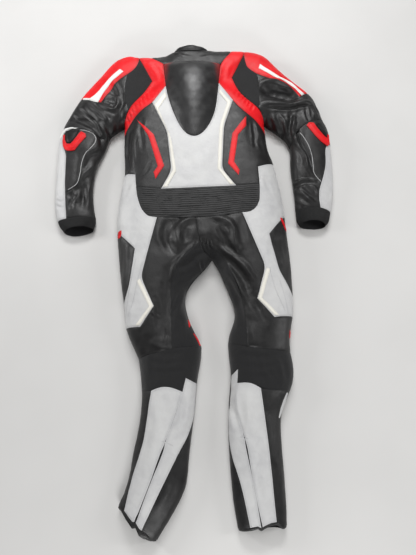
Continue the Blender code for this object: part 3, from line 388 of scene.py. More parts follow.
folds = (      # points, half width, rise (a trough is negative), side ridges as a share where not 0.5
    # left upper sleeve: the armhole loop, the arch over the elbow and what runs into them
    (((-411, 539), (-375, 508), (-342, 478), (-325, 442), (-320, 402), (-311, 373)), 7, 7.5, 0.35),
    (((-437, 495), (-391, 475), (-355, 454), (-335, 424), (-325, 380)), 11, -6.0, 0.3),
    (((-427, 524), (-387, 493), (-355, 467)), 6, 2.2, 0.3),
    (((-311, 587), (-287, 573), (-281, 547), (-293, 524), (-316, 531), (-344, 558)), 7, 6.5, 0.3),
    (((-327, 568), (-309, 562), (-300, 546)), 10, -6.0, 0.0),
    (((-268, 596), (-262, 556), (-272, 514), (-279, 484)), 8, -5.0, 0.4),
    (((-300, 640), (-285, 610), (-276, 590)), 8, 2.5, 0.4),
    (((-372, 560), (-350, 535), (-322, 505), (-300, 490)), 8, -3.5, 0.4),
    (((-302, 505), (-300, 470), (-306, 430)), 7, 3.0),
    (((-440, 520), (-418, 500), (-398, 492)), 5, 1.8),
    # left forearm
    (((-329, 404), (-336, 375), (-367, 341), (-377, 302)), 8, -4.5, 0.4),
    (((-312, 375), (-333, 341), (-361, 312), (-383, 274), (-398, 246), (-428, 213)), 8, 5.0, 0.3),
    (((-429, 212), (-415, 190), (-419, 146)), 8, -4.5, 0.3),
    (((-391, 212), (-400, 187), (-413, 167)), 6, 3.5, 0.4),
    (((-353, 305), (-362, 258), (-367, 211), (-364, 147)), 9, 4.5),
    (((-345, 285), (-345, 228), (-340, 145)), 7, -4.0, 0.3),
    (((-385, 235), (-380, 200), (-385, 160)), 8, -3.5, 0.3),
    (((-460, 330), (-455, 280), (-462, 225)), 7, -1.6),
    (((-470, 200), (-455, 190), (-440, 196)), 5, 2.0),
    (((-468, 172), (-452, 160), (-438, 158)), 5, -1.8),
    # right upper sleeve: a deep pocket under an arch, and the bar of cloth below it
    (((228, 612), (260, 611), (304, 603), (344, 585)), 15, -10.0, 0.15),
    (((216, 624), (242, 641), (296, 649), (336, 632), (358, 594)), 8, 5.0, 0.2),
    (((229, 549), (295, 548), (340, 550), (375, 556), (403, 568)), 8, 6.0, 0.3),
    (((230, 534), (282, 532), (341, 537), (400, 549)), 4.5, -4.8, 0.15),
    (((331, 520), (320, 478), (318, 438)), 8, -6.0, 0.3),
    (((345, 524), (332, 483), (332, 442), (343, 400), (363, 348), (380, 291), (395, 258)), 7, 6.0, 0.3),
    (((342, 454), (353, 414), (372, 350), (386, 297)), 6, -4.0, 0.3),
    (((277, 514), (286, 482), (303, 431)), 7, -5.0, 0.4),
    (((294, 506), (303, 475), (312, 440)), 5, 3.0, 0.4),
    (((251, 510), (258, 490), (272, 465)), 6, -3.0),
    (((398, 542), (407, 516), (404, 493)), 5, 2.4),
    (((380, 537), (383, 511), (390, 480)), 5, -2.4),
    (((420, 560), (432, 535), (436, 515)), 5, 2.4),
    # right forearm
    (((318, 252), (359, 259), (396, 257)), 5, 4.0, 0.4),
    (((322, 238), (354, 244), (387, 246)), 6, -4.5, 0.2),
    (((345, 380), (352, 330), (350, 280)), 9, -3.0, 0.4),
    (((334, 230), (359, 197), (391, 170)), 7, 3.6, 0.4),
    (((345, 232), (372, 205), (400, 186)), 6, -3.2, 0.3),
    (((379, 244), (399, 220), (403, 197)), 5, 2.5, 0.4),
    (((326, 198), (350, 175), (374, 166)), 6, 2.8, 0.4),
    (((441, 260), (446, 230), (438, 190)), 7, -1.6),
    # backs of the sides
    (((-235, 440), (-238, 370), (-232, 300)), 7, -3.2),
    (((-212, 445), (-214, 370), (-210, 300)), 6, 2.6),
    (((-190, 470), (-192, 420), (-180, 350)), 7, -2.4),
    (((205, 455), (212, 430), (217, 400), (237, 345)), 8, 4.5),
    (((190, 470), (192, 420), (196, 360)), 6, -3.0),
    (((225, 440), (235, 400), (250, 350)), 6, -2.6, 0.4),
    (((-150, 300), (-165, 270), (-185, 250)), 6, -1.6),
    # red yokes: short gathers across the band
    (((-175, 700), (-155, 672), (-140, 640)), 9, 2.0),
    (((125, 710), (108, 680), (100, 640)), 9, 2.0),
    # yoke under the collar
    (((-95, 770), (-60, 742), (-30, 735)), 7, 2.0),
    (((60, 775), (30, 750), (0, 740)), 7, -1.6),
    # centre back: shallow pull lines towards the waist
    (((-40, 330), (-20, 300), (-25, 262)), 14, -1.4, 0.4),
    (((40, 350), (30, 310), (38, 270)), 14, 1.4, 0.4),
    (((-70, 250), (-30, 240), (10, 246)), 9, -1.0, 0.4),
    (((-228, 250), (-225, 222), (-236, 190)), 8, -2.0),
    (((-247, 232), (-235, 212), (-220, 205)), 5, 1.2),
    (((232, 262), (228, 232), (240, 200)), 8, -2.0),
    (((222, 270), (240, 266), (258, 272)), 5, 1.4),
    # seat: the two big arcs, and the folds that fall from the crotch
    (((-6, 105), (-45, 87), (-63, 61), (-58, 29), (-40, 4)), 11, 6.0, 0.3),
    (((-86, 102), (-99, 72), (-98, 38), (-81, 4), (-63, -20)), 12, -6.0, 0.3),
    (((-30, 70), (-34, 45), (-26, 20)), 13, -4.5, 0.0),
    (((50, 108), (90, 99), (114, 72), (119, 34), (128, -12)), 9, 6.0, 0.3),
    (((70, 84), (82, 51), (97, 17), (116, -18)), 9, -5.5, 0.3),
    (((136, 90), (142, 50), (152, 0)), 10, -2.6),
    (((11, 26), (-21, -5), (-55, -40), (-71, -66), (-77, -111)), 8, 6.0, 0.25),
    (((34, 0), (3, -17), (-33, -50), (-60, -58)), 8, -6.0, 0.3),
    (((11, -30), (17, -49), (30, -61)), 4, -3.5, 0.6),
    (((58, 20), (97, -8), (136, -40), (166, -80), (180, -134)), 8, 6.5, 0.3),
    (((62, -13), (105, -42), (136, -79), (158, -123)), 9, -7.0, 0.3),
    (((74, -49), (101, -73), (135, -126), (161, -182)), 8, 4.5, 0.3),
    (((86, -80), (110, -120), (134, -180), (142, -250)), 8, -4.0, 0.4),
    (((34, -65), (-20, -98), (-51, -126), (-62, -162), (-69, -209)), 8, -7.0, 0.3),
    (((20, -72), (-32, -107), (-60, -135), (-78, -185)), 6, 4.5, 0.3),
    (((-4, -246), (-20, -188), (-28, -153)), 7, 3.5),
    (((-52, -205), (-50, -250), (-42, -285)), 8, -3.0),
    (((-122, -160), (-112, -200), (-110, -245)), 9, -2.6),
    (((-135, -196), (-122, -206), (-108, -212)), 4, 1.6, 0.6),
    (((176, -150), (188, -190), (206, -230)), 9, -2.6),
    # gathers at the seat seam's end
    (((16, 37), (13, 20), (11, 4)), 3.0, 3.2),
    (((24, 37), (23, 20), (22, 4)), 3.0, 3.4),
    (((32, 35), (34, 18), (37, 3)), 3.0, 3.4),
    (((40, 33), (45, 18), (52, 5)), 3.0, 3.0),
    (((8, 33), (3, 18), (-3, 4)), 3.0, 2.8),
    # outer thighs and hips
    (((-240, 20), (-236, -40), (-244, -100)), 9, -2.2),
    (((-200, 60), (-206, 0), (-196, -60)), 10, -1.6),
    (((276, 40), (284, -20), (280, -80)), 9, -2.2),
    (((228, 60), (236, 20), (230, -30)), 10, -1.6),
    # backs of the knees
    (((-150, -300), (-90, -322), (-20, -318)), 9, -2.6),
    (((-140, -352), (-92, -362), (-30, -352)), 8, 2.2),
    (((120, -318), (180, -330), (250, -322)), 9, -2.4),
    (((140, -362), (190, -372), (250, -360)), 8, 2.0),
    (((189, -316), (196, -359), (215, -402)), 8, 2.6),
    (((160, -316), (156, -352), (158, -388)), 8, 2.2),
    (((233, -323), (250, -374), (248, -409)), 8, 2.4),
    (((-89, -249), (-90, -272), (-90, -298)), 3, -2.0, 0.3),
    (((-61, -249), (-57, -272), (-54, -298)), 3, -2.0, 0.3),
    (((-70, -305), (-85, -345), (-78, -395)), 9, 2.0),
    (((-120, -310), (-125, -350), (-118, -392)), 9, -1.8),
    # calves
    (((-118, -440), (-110, -510), (-124, -590)), 15, 3.4, 0.4),
    (((-35, -450), (-42, -500), (-60, -545)), 8, -3.4),
    (((-70, -590), (-52, -600), (-40, -600)), 5, -1.6, 0.6),
    (((106, -412), (106, -465), (124, -535)), 8, -4.2),
    (((152, -430), (150, -480), (144, -540)), 10, 3.6, 0.4),
    (((180, -590), (188, -650), (196, -710)), 10, -2.6),
    (((-60, -650), (-80, -700), (-105, -745)), 9, 2.4),
    (((230, -600), (236, -660), (238, -720)), 8, 1.8),
)


def smoothPath(points, step=4.0):
    p = np.array([points[0], *points, points[-1]], float)
    out = []
    for a, b, c, d in zip(p, p[1:], p[2:], p[3:]):
        count = max(2, round(np.linalg.norm(c - b) / step))
        for k in range(count):
            t = k / count
            out.append(0.5 * (2 * b + (c - a) * t + (2 * a - 5 * b + 4 * c - d) * t ** 2
                              + (3 * b - a - 3 * c + d) * t ** 3))
    out.append(p[-1])
    return np.array(out)


def nearestOn(path, points):
    # distance to a path and the share of its length there, for many points
    best = np.full(len(points), 1e9)
    share = np.zeros(len(points))
    lengths = np.linalg.norm(np.diff(path, axis=0), axis=1)
    starts = np.concatenate([[0], np.cumsum(lengths)])
    for k, (a, b) in enumerate(zip(path, path[1:])):
        t = np.clip((points - a) @ (b - a) / max(lengths[k] ** 2, 1e-9), 0, 1)
        d = np.linalg.norm(points - a - t[:, None] * (b - a), axis=1)
        closer = d < best
        best[closer] = d[closer]
        share[closer] = ((starts[k] + t * lengths[k]) / starts[-1])[closer]
    return best, share


def bell(distance, width):
    # 1 in the middle, fading out past the width
    return np.exp(-(distance / width) ** 2)


def noiseAt(points, size, seed):
    return np.array([noise.noise(Vector((x / size + seed, y / size - seed, z / size)))
                     for x, y, z in points])


# short gathers across the red yokes: the middle of each, and its depth
gathers = {
    "left": ((-242, 484, 2.2), (-235, 500, 3.2), (-226, 514, 2.7), (-216, 528, 3.8), (-205, 540, 2.9),
             (-193, 551, 3.6), (-180, 562, 2.5), (-166, 572, 1.8)),
    "right": ((191, 526, 2.2), (182, 540, 3.2), (172, 553, 3.8), (161, 566, 2.7), (150, 578, 3.2),
              (138, 590, 1.9)),
    "reach": (7, 16), "width": 4.2, "ridges": 0.6,
}


def gatherFolds():
    for side, turn in (("left", -1), ("right", 1)):
        dx, dy = gathers["reach"]
        for x, y, depth in gathers[side]:
            points = ((x + turn * dx, y + dy), (x, y), (x - turn * dx, y - dy))
            yield points, gathers["width"], -depth, gathers["ridges"]


foldShape = {      # how a fold wanders, how sharp its crest and trough are, and how it fades at its ends
    "wander": 4.0, "wanderSize": 38, "crest": 1.5, "trough": 2.0, "ridges": (0.5,), "ridgeAt": 1.7,
    "ridgeWidth": 0.8, "fade": 0.6, "ends": (0.02, 0.98), "reach": 4,
}
foldPaths = [(smoothPath(points), width, rise, *(ridges or foldShape["ridges"]))
             for points, width, rise, *ridges in (*folds, *gatherFolds())]
slacks = ((0.9, 46, 1.3), (0.25, 19, 5.9))      # rise, size and seed of the cloth's small unevenness


def foldRise(points):
    # how far folds lift the cloth, in mm, at points in the frame's mm
    shape = foldShape
    wander = np.column_stack([noiseAt(points, shape["wanderSize"], seed) for seed in (3.1, 9.7)])
    flat = points[:, :2] - patternZero + shape["wander"] * wander
    total = np.zeros(len(points))
    for path, width, rise, ridges in foldPaths:
        low, high = path.min(0) - shape["reach"] * width, path.max(0) + shape["reach"] * width
        near = np.flatnonzero(((flat > low) & (flat < high)).all(1))
        if not len(near):
            continue
        distance, share = nearestOn(path, flat[near])
        q = distance / width
        profile = np.exp(-q ** shape["crest" if rise > 0 else "trough"])
        profile -= ridges * bell(q - shape["ridgeAt"], shape["ridgeWidth"])
        total[near] += rise * profile * np.sin(np.pi * np.clip(share, *shape["ends"])) ** shape["fade"]
    return total


def slackRise(points):
    return sum(rise * noiseAt(points, size, seed) for rise, size, seed in slacks)


# panels: each CAD node's outer skin is copied, softened and given a thickness of its own

skins = {
    "wall": 2.4, "trimWall": 1.4, "zipWall": 1.5, "rungTolerance": 0.03, "weld": 0.01,     # of the solids
    "sharpTurn": 86, "cornerTurn": 42, "trimCornerTurn": 25, "smoothAngle": 50,            # in degrees
    "thickness": 1.9, "trimThickness": 2.3, "trimLift": 1.8, "floorGap": 0.3, "skinGap": 0.4, "tipReach": 14,
    "keepShare": 0.62,      # how much of the inner side's mesh is kept
}
trimShift = {      # so these trims reach their panel's edge
    "hip_bar_left": (3.0, 1.0), "hip_bar_right": (-2.6, 0.0), "sleeve_stripe_left": (-4.0, -6.0),
    "sleeve_stripe_right": (0.0, -5.0),
}
front = ("front_left", "front_right", "zip_front", "thigh_front_left", "thigh_front_right")     # faces down
rounds = ("collar", "cuff_", "hem_", "shin_front_", "sleeve_front_")     # their outer skin is the larger one
fine = ("sleeve_", "forearm_", "seat_", "inner_leg_", "side_back_", "yoke_", "thigh_outer_", "hip_", "hump",
        "calf_", "knee_back_", "hem_", "cuff_")


def isTrim(name):
    return any(word in name for word in ("_bar_", "bolt", "stripe", "ring", "pad"))


def outerSkin(name):
    # the outer skin of a solid without its rim, whose faces have an edge as long as the wall is thick
    bm = loaded(nodes[name].data)
    bmesh.ops.remove_doubles(bm, verts=bm.verts, dist=skins["weld"] * mm)
    wall = skins["trimWall" if isTrim(name) else "zipWall" if name.startswith("zip") else "wall"]
    rungs = {e for e in bm.edges if abs(e.calc_length() / mm - wall) < skins["rungTolerance"]}
    seen, islands = {f for f in bm.faces if any(e in rungs for e in f.edges)}, []
    for face in bm.faces:
        if face in seen:
            continue
        island, todo = [], [face]
        seen.add(face)
        while todo:
            current = todo.pop()
            island.append(current)
            for e in current.edges:
                if len(e.link_faces) == 2 and e.calc_face_angle(0) > math.radians(skins["sharpTurn"]):
                    continue
                for other in e.link_faces:
                    if other not in seen:
                        seen.add(other)
                        todo.append(other)
        islands.append(island)
    islands.sort(key=lambda island: -sum(f.calc_area() for f in island))
    first, second = islands[:2]
    up = sum(f.normal.z * f.calc_area() for f in first)
    keep = set(first if name.startswith(rounds) or (up < 0) == (name in front) else second)
    bmesh.ops.delete(bm, geom=[f for f in bm.faces if f not in keep], context="FACES")
    bmesh.ops.holes_fill(bm, edges=[e for e in bm.edges if e.is_boundary], sides=3)
    return bm


humpTip = min((v.co for v in nodes["hump"].data.vertices), key=lambda place: place.y)


def markCorners(bm, cornerTurn):
    # sharp corners stay sharp when the skin is subdivided, except at the hump's rounded tip
    crease = bm.verts.layers.float.get("crease_vert") or bm.verts.layers.float.new("crease_vert")
    for v in bm.verts:
        ends = [e.other_vert(v).co for e in v.link_edges if e.is_boundary]
        if len(ends) == 2 and (v.co - humpTip).length > skins["tipReach"] * mm:
            turn = (v.co - ends[0]).angle(ends[1] - v.co, 0)
            v[crease] = 1.0 if turn > math.radians(cornerTurn) else 0.0


def subdivided(bm, levels):
    # the skin made finer and rounder, as a new bmesh
    work = newObject("work", bm)
    mesh = work.data
    smooth = work.modifiers.new("smooth", "SUBSURF")
    smooth.levels = smooth.render_levels = levels
    smooth.boundary_smooth = "ALL"
    result = modified(work)
    bpy.data.objects.remove(work)
    out = loaded(result)
    bpy.data.meshes.remove(result)
    bpy.data.meshes.remove(mesh)
    return out


def boundaryLoops(bm):
    # the open edges, each as one run of vertices
    loops, used = [], set()
    for start in bm.verts:
        if start in used or not start.is_boundary:
            continue
        loop, current = [start], start
        used.add(start)
        while True:
            onward = [e.other_vert(current) for e in current.link_edges
                      if e.is_boundary and e.other_vert(current) not in used]
            if not onward:
                break
            current = onward[0]
            used.add(current)
            loop.append(current)
        loops.append(loop)
    return loops


def seamDistances(bm, points):
    # how far each point lies from the nearest open edge, in mm
    segments = [(e.verts[0].co / mm, e.verts[1].co / mm) for e in bm.edges if e.is_boundary]
    starts = np.array([a for a, b in segments])
    along = np.array([b for a, b in segments]) - starts
    squares = np.maximum((along ** 2).sum(1), 1e-9)
    out = np.zeros(len(points))
    for k, p in enumerate(points):
        t = np.clip(((p - starts) * along).sum(1) / squares, 0, 1)
        out[k] = np.sqrt((((p - starts) - t[:, None] * along) ** 2).sum(1).min())
    return out


def thicken(bm, thickness):
    # closes a skin into a shell whose inner side has the second material
    bm.normal_update()
    skin, inward = bm.faces[:], [(v, v.normal * -thickness * mm) for v in bm.verts]
    bmesh.ops.extrude_face_region(bm, geom=skin, use_keep_orig=True)     # the copy is the outer side
    for v, step in inward:
        v.co += step
    for f in skin:
        f.material_index = 1
    for f in bm.faces:
        f.smooth = True


def thinInside(piece):
    # the inner side needs far fewer faces than the outer one
    inner = {i for p in piece.data.polygons if p.material_index == 1 for i in p.vertices}
    outer = {i for p in piece.data.polygons if p.material_index == 0 for i in p.vertices}
    group = piece.vertex_groups.new(name="inner")
    group.add(sorted(inner - outer), 1.0, "REPLACE")
    thin = piece.modifiers.new("thin", "DECIMATE")
    thin.vertex_group = "inner"
    thin.ratio = skins["keepShare"]
    mesh = modified(piece)
    old = piece.data
    name = old.name
    piece.modifiers.clear()
    piece.vertex_groups.clear()
    piece.data = mesh
    bpy.data.meshes.remove(old)
    mesh.name = name
    for v in mesh.vertices:
        v.co.z = max(v.co.z, skins["floorGap"] * mm)


lumbarPanel = {
    "top": ((-198, 213), (-116, 206), (127, 218), (204, 224)),
    "low": ((-198, 106), (-126, 106), (-60, 104), (60, 110), (145, 123), (204, 124)),
    "left": ((-126, 106), (-150, 109), (-172, 127), (-190, 172), (-198, 213)),
    "right": ((145, 123), (170, 125), (190, 138), (201, 165), (204, 224)),
    "sides": (-190, 195), "ribs": 14, "rowsPerRib": 5, "columns": 76, "smoothing": 14, "height": 85,
    "ribRise": 1.5, "ribZero": 0.8, "edge": 6, "wander": 0.22, "wanderSize": 30,
}
above = 0.3      # a height over the whole suit, from which points are dropped on it


def acrossLumbar(x):
    # the panel's lower and upper edge at a place across it
    return (np.interp(x, *np.array(lumbarPanel[side], float).T) for side in ("low", "top"))


def smoothHeights(bm, times):
    # evens out the heights of a skin, with its edge held
    inner = [v for v in bm.verts if not v.is_boundary]
    for k in range(times):
        bmesh.ops.smooth_vert(bm, verts=inner, factor=0.5, use_axis_x=False, use_axis_y=False,
                              use_axis_z=True)


def lumbarSkin():
    # a grid whose rows run along the ribs, laid on the panel's solid
    p = lumbarPanel
    cad = loaded(nodes["lumbar"].data)
    tree = BVHTree.FromBMesh(cad)
    cad.free()
    rows = p["ribs"] * p["rowsPerRib"]
    columns = p["columns"]
    bm = bmesh.new()
    bmesh.ops.create_grid(bm, x_segments=columns, y_segments=rows, size=1)
    left, right = smoothPath(p["left"]), smoothPath(p["right"])
    for v in bm.verts:
        u, w = (v.co.x + 1) / 2, (v.co.y + 1) / 2
        lowEnd, highEnd = acrossLumbar(p["sides"])
        yLeft, yRight = lowEnd + w * (highEnd - lowEnd)
        xLeft = np.interp(yLeft, left[:, 1], left[:, 0])
        xRight = np.interp(yRight, right[:, 1], right[:, 0])
        x = xLeft + u * (xRight - xLeft)
        low, high = acrossLumbar(x)
        px, py = (np.array((x, low + w * (high - low))) + patternZero) * mm
        hit = tree.ray_cast(Vector((px, py, above)), Vector((0, 0, -1)))[0]
        if hit is None:
            hit = tree.find_nearest(Vector((px, py, p["height"] * mm)))[0]
        v.co = (px, py, hit.z)
    smoothHeights(bm, p["smoothing"])
    return bm


def ribRise(points):
    # height of the lumbar ribs, 0 to 1, with a slight wander along them
    p = lumbarPanel
    flat = points[:, :2] - patternZero
    low, high = acrossLumbar(flat[:, 0])
    wander = p["wander"] * noiseAt(points, p["wanderSize"], 4.4)
    phase = (flat[:, 1] - low) / (high - low) * p["ribs"] + wander
    return np.sqrt(np.abs(np.sin(np.pi * phase)))


slits = {       # the calf zips, top to hem, in the cutting plan, with the gap's half width along them
    "left": {"line": ((-83, -566), (-160, -767)), "gap": (1.7, 2.6, 1.9, 0.7, 0.35, 0.45, 0.9, 2.2)},
    "right": {"line": ((137, -553), (178, -777)), "gap": (1.7, 2.5, 1.6, 0.5, 0.35, 0.4, 1.1, 2.2)},
    "edge": 3.65, "reach": 17.0, "sink": 2.6, "lift": 1.1, "ends": 0.02,
}


def closeSlit(points, name):
    # brings the calf flaps together over the zip
    slit = slits["left" if name.endswith("left") else "right"]
    top, hem = (np.array(p, float) + patternZero for p in slit["line"])
    along = (hem - top) / np.linalg.norm(hem - top)
    across = np.array((-along[1], along[0]))
    offset = points[:, :2] - top
    share = (offset @ along) / np.linalg.norm(hem - top)
    away = offset @ across
    gap = np.interp(share, np.linspace(0, 1, len(slit["gap"])), slit["gap"])
    near = bell(np.maximum(np.abs(away) - slits["edge"], 0), slits["reach"])
    ends = np.clip((share + slits["ends"]) / (2 * slits["ends"]), 0, 1)
    step = (slits["edge"] - gap) * near * ends
    out = points.copy()
    out[:, :2] -= (np.sign(away) * step)[:, None] * across
    out[:, 2] += slits["lift"] * near * ends
    return out


hemWaves = {     # how far the hem's edge runs up or down, in mm, against its place across the leg
    "left": ((-219, 0), (-203, 6), (-187, -3), (-168, -7), (-158, 5), (-149, -3), (-130, 4), (-100, 0)),
    "right": ((115, -3), (150, 2), (170, 6), (178, 0), (186, 4), (205, 9), (222, 8), (240, -3), (255, 1)),
    "leftLine": ((-214, -740), (-101, -824)), "rightLine": ((117, -790), (253, -782)),
    "reach": 55, "fade": 1.5, "between": 20, "fullHeight": 20, "leastShare": 0.2, "below": -650,
}


def waveHem(points):
    # lets a hem's edge run up and down, least at the floor
    flat = points[:, :2] - patternZero
    out = points.copy()
    for side in ("left", "right"):
        (x0, y0), (x1, y1) = hemWaves[side + "Line"]
        line = np.interp(flat[:, 0], (x0, x1), (y0, y1))
        onSide = (flat[:, 0] < hemWaves["between"]) == (side == "left")
        near = np.clip(1 - (flat[:, 1] - line) / hemWaves["reach"], 0, 1) ** hemWaves["fade"] * onSide
        wave = np.interp(flat[:, 0], *np.array(hemWaves[side], float).T)
        out[:, 1] += wave * near * np.clip(points[:, 2] / hemWaves["fullHeight"], hemWaves["leastShare"], 1)
    return out


haze = {      # places in the cutting plan's mm
    "strength": 0.46, "middle": -20, "side": 36, "sideReach": 44, "sideFade": 1.2, "low": 570, "rise": 110,
    "edge": 34,
}


def redFade(points, seam):
    # the hump's red haze: at the upper part of its two sides
    x, y = (points[:, :2] - patternZero).T
    away = np.abs(x - haze["middle"]) - haze["side"]
    side = np.clip(away / haze["sideReach"], 0, 1) ** haze["sideFade"]
    height = np.clip((y - haze["low"]) / haze["rise"], 0, 1)
    return haze["strength"] * height * side * bell(seam, haze["edge"])


threadSlots = {
    "thread_black": "black_leather", "thread_silver": "silver_leather", "thread_red": "red_leather",
    "thread_cream": "cream_leather",
}
threads = {thread: [] for thread in threadSlots}
threadFor = {
    "black_leather": "thread_black", "black_gloss": "thread_black", "silver_leather": "thread_silver",
    "red_leather": "thread_red", "cream_leather": "thread_cream", "white_leather": "thread_cream",
}
stitch = {      # in mm; the last two rows say where none is sewn: short runs, sharp corners, off the skin
    "pitch": 5.0, "length": 3.6, "width": 1.1, "height": 0.75, "lift": 0.1,
    "fromSeam": 4.0, "fromTrimEdge": 2.0, "fewest": 4, "span": 3,
    "straight": 4.2, "furthest": 2, "leastInset": 0.7, "offFloor": 1.0,
}


def sewAlong(loop, bm, tree, offset, thread):
    # a row of stitches beside one run of the edge, with none at sharp corners
    edge = np.array([v.co for v in loop]) / mm
    inward = []
    for v in loop:
        middle = sum((f.calc_center_median() for f in v.link_faces), Vector()) / max(len(v.link_faces), 1)
        inward.append(middle - v.co)
    inward = np.array(inward)
    ring, inwardRing = np.vstack([edge, edge[:1]]), np.vstack([inward, inward[:1]])
    runs = np.concatenate([[0], np.cumsum(np.linalg.norm(np.diff(ring, axis=0), axis=1))])
    count = int(runs[-1] / stitch["pitch"])
    if count < stitch["fewest"]:
        return

    def along(t, values):
        return np.array([np.interp(min(max(t, 0), runs[-1]), runs, values[:, k]) for k in range(3)])

    for t in (np.arange(count) + 0.5) * runs[-1] / count:
        here = along(t, ring)
        way = along(t + stitch["span"], ring) - along(t - stitch["span"], ring)
        length = np.linalg.norm(way)
        if length < stitch["straight"]:
            continue
        way = way / length
        into = along(t, inwardRing)
        into = into - way * (into @ way)
        into = into / max(np.linalg.norm(into), 1e-9)
        place, normal, _, distance = tree.find_nearest(Vector(here + into * offset) * mm)
        if place is None or distance > stitch["furthest"] * mm:
            continue
        if (Vector(here) * mm - place).length >= stitch["leastInset"] * offset * mm:
            threads[thread].append((np.array(place), way, np.array(normal)))


pieces, cutArea = {}, {}


def surfaceTree(names):
    # the outer sides of some panels, to lay things on
    bm = bmesh.new()
    for name in names:
        bm.from_mesh(pieces[name].data)
    bmesh.ops.delete(bm, geom=[f for f in bm.faces if f.material_index == 1], context="FACES")
    tree = BVHTree.FromBMesh(bm)
    bm.free()
    return tree


laying = {      # in mm: steps to each side, least height, and what counts as a gap between panels
    "steps": ((0, 0, 0), (1, 0, 0), (-1, 0, 0), (0, 1, 0), (0, -1, 0)),
    "lowest": 8, "gap": 4, "guess": 30.0, "rounding": 0.55, "roundingReach": 1.5,
}


def laidAt(x, y, tree, guess=laying["guess"]):
    # the surface under a point of the cutting plan, and its normal; seams between panels are stepped over
    top = Vector(((x + patternZero[0]) * mm, (y + patternZero[1]) * mm, above))
    hits = [tree.ray_cast(top + Vector(step) * mm, Vector((0, 0, -1)))[:2] for step in laying["steps"]]
    hits = [hit for hit in hits if hit[0] is not None and hit[0].z > laying["lowest"] * mm]
    if not hits:
        return tree.find_nearest(Vector((top.x, top.y, guess * mm)))[:2]
    place, normal = hits[0]
    for other, otherNormal in hits[1:]:
        if other.z > place.z + laying["gap"] * mm:
            place, normal = Vector((top.x, top.y, other.z)), otherNormal
    return place, normal


def laidTrim(points, seam, tree):
    # a trim follows the finished panel under it, with rounded edges
    out = []
    for (x, y, z), d in zip(points, seam):
        place, normal = laidAt(x - patternZero[0], y - patternZero[1], tree, z)
        rounded = 1 - laying["rounding"] * math.exp(-d / laying["roundingReach"])
        out.append(np.array(place) / mm + np.array(normal) * skins["trimLift"] * rounded)
    return np.array(out)


puffs = {      # how panels and trims stand up between their seams, in mm
    "rise": 1.3, "reach": 22, "sink": 0.8, "sinkWidth": 2.2, "facing": (0.15, 0.5),
    "yokeLeast": 0.25, "yokeReach": 10,
    "pad": {"base": 1.0, "rise": 2.6, "reach": 5.0, "grow": 0.10},
    "ring": {"base": 1.2, "rise": 2.6, "reach": 2.5, "groove": 2.4, "grooveAt": 6.5, "grooveWidth": 1.5},
}
collarShape = {
    "roll": 8.5, "rollRise": 2.4, "base": 1.4, "crease": 2.2, "creaseWidth": 3.0,
    "foldFrom": 766, "foldReach": 50, "foldCurve": 1.3, "fold": (4, -12), "flatFrom": 789, "flatten": 0.75,
}
humpShape = {
    "smoothing": 90, "slack": 0.05,
    "dropFrom": 490, "dropReach": 205, "dropCurve": 1.3, "drop": 0.42, "dropAbove": 84,
}


def panelSkin(name):
    # the fine skin that a panel starts from
    if name == "lumbar":
        return lumbarSkin()
    bm = outerSkin(name)
    if not name.startswith(("collar", "cuff_", "hem_")):
        markCorners(bm, skins["trimCornerTurn" if isTrim(name) and "elbow" not in name else "cornerTurn"])
    bm = subdivided(bm, 4 if name == "collar" else 3 if name.startswith(fine) or isTrim(name) else 2)
    if name == "hump":
        smoothHeights(bm, humpShape["smoothing"])
    return bm


def panelRise(name, points, normals, seam):
    # how far each point of a panel moves outwards
    start, reach = puffs["facing"]
    upward = np.clip((normals[:, 2] + start) / reach, 0, 1)
    rise = (foldRise(points) + slackRise(points)) * upward
    if name.startswith("yoke_red"):
        least = puffs["yokeLeast"]
        rise *= least + (1 - least) * (1 - bell(seam, puffs["yokeReach"]))
    if name == "hump":
        rise = humpShape["slack"] * slackRise(points)
    if "elbow_pad" in name:
        pad = puffs["pad"]
        rise += pad["base"] + pad["rise"] * (1 - bell(seam, pad["reach"]))
    elif "elbow_ring" in name:
        ring = puffs["ring"]
        groove = ring["groove"] * bell(seam - ring["grooveAt"], ring["grooveWidth"])
        rise += ring["base"] + ring["rise"] * (1 - bell(seam, ring["reach"])) - groove
    elif name == "collar":
        c = collarShape
        rolls = c["rollRise"] * np.sqrt(np.abs(np.sin(np.pi * seam / c["roll"])))
        rise += rolls - c["base"] - c["crease"] * bell(seam, c["creaseWidth"])
    elif name == "lumbar":
        ribs = ribRise(points) - lumbarPanel["ribZero"]
        rise += lumbarPanel["ribRise"] * ribs * np.clip(seam / lumbarPanel["edge"], 0, 1)
    elif not (isTrim(name) or name.startswith("zip")):
        puff = puffs["rise"] * (1 - np.exp(-seam / puffs["reach"]))
        rise += (puff - puffs["sink"] * bell(seam, puffs["sinkWidth"])) * upward
    if name.startswith("zip_calf"):
        rise -= slits["sink"]
    return rise


def settled(name, before, points):
    # the last shaping of some panels: the calf flaps, the hems, the hump's upper end and the collar
    if name.startswith("calf_"):
        points = closeSlit(points, name)
    if points[:, 1].min() < hemWaves["below"]:
        points = waveHem(points)
    if name == "hump":
        h = humpShape
        share = np.clip((before[:, 1] - patternZero[1] - h["dropFrom"]) / h["dropReach"], 0, 1)
        drop = h["drop"] * share ** h["dropCurve"]
        points[:, 2] -= drop * np.maximum(points[:, 2] - h["dropAbove"], 0)
    if name == "collar":
        c = collarShape
        past = points[:, 1] - patternZero[1] - c["foldFrom"]
        points[:, :2] += np.outer(np.clip(past / c["foldReach"], 0, 1) ** c["foldCurve"], c["fold"])
        points[:, 1] -= c["flatten"] * np.maximum(points[:, 1] - patternZero[1] - c["flatFrom"], 0)
    points[:, 2] = np.maximum(points[:, 2], skins["skinGap"])
    return points


def keepNumbers(bm, label, numbers):
    # one number at each vertex, for the materials
    layer = bm.verts.layers.float.new(label)
    for v, number in zip(bm.verts, numbers):
        v[layer] = number


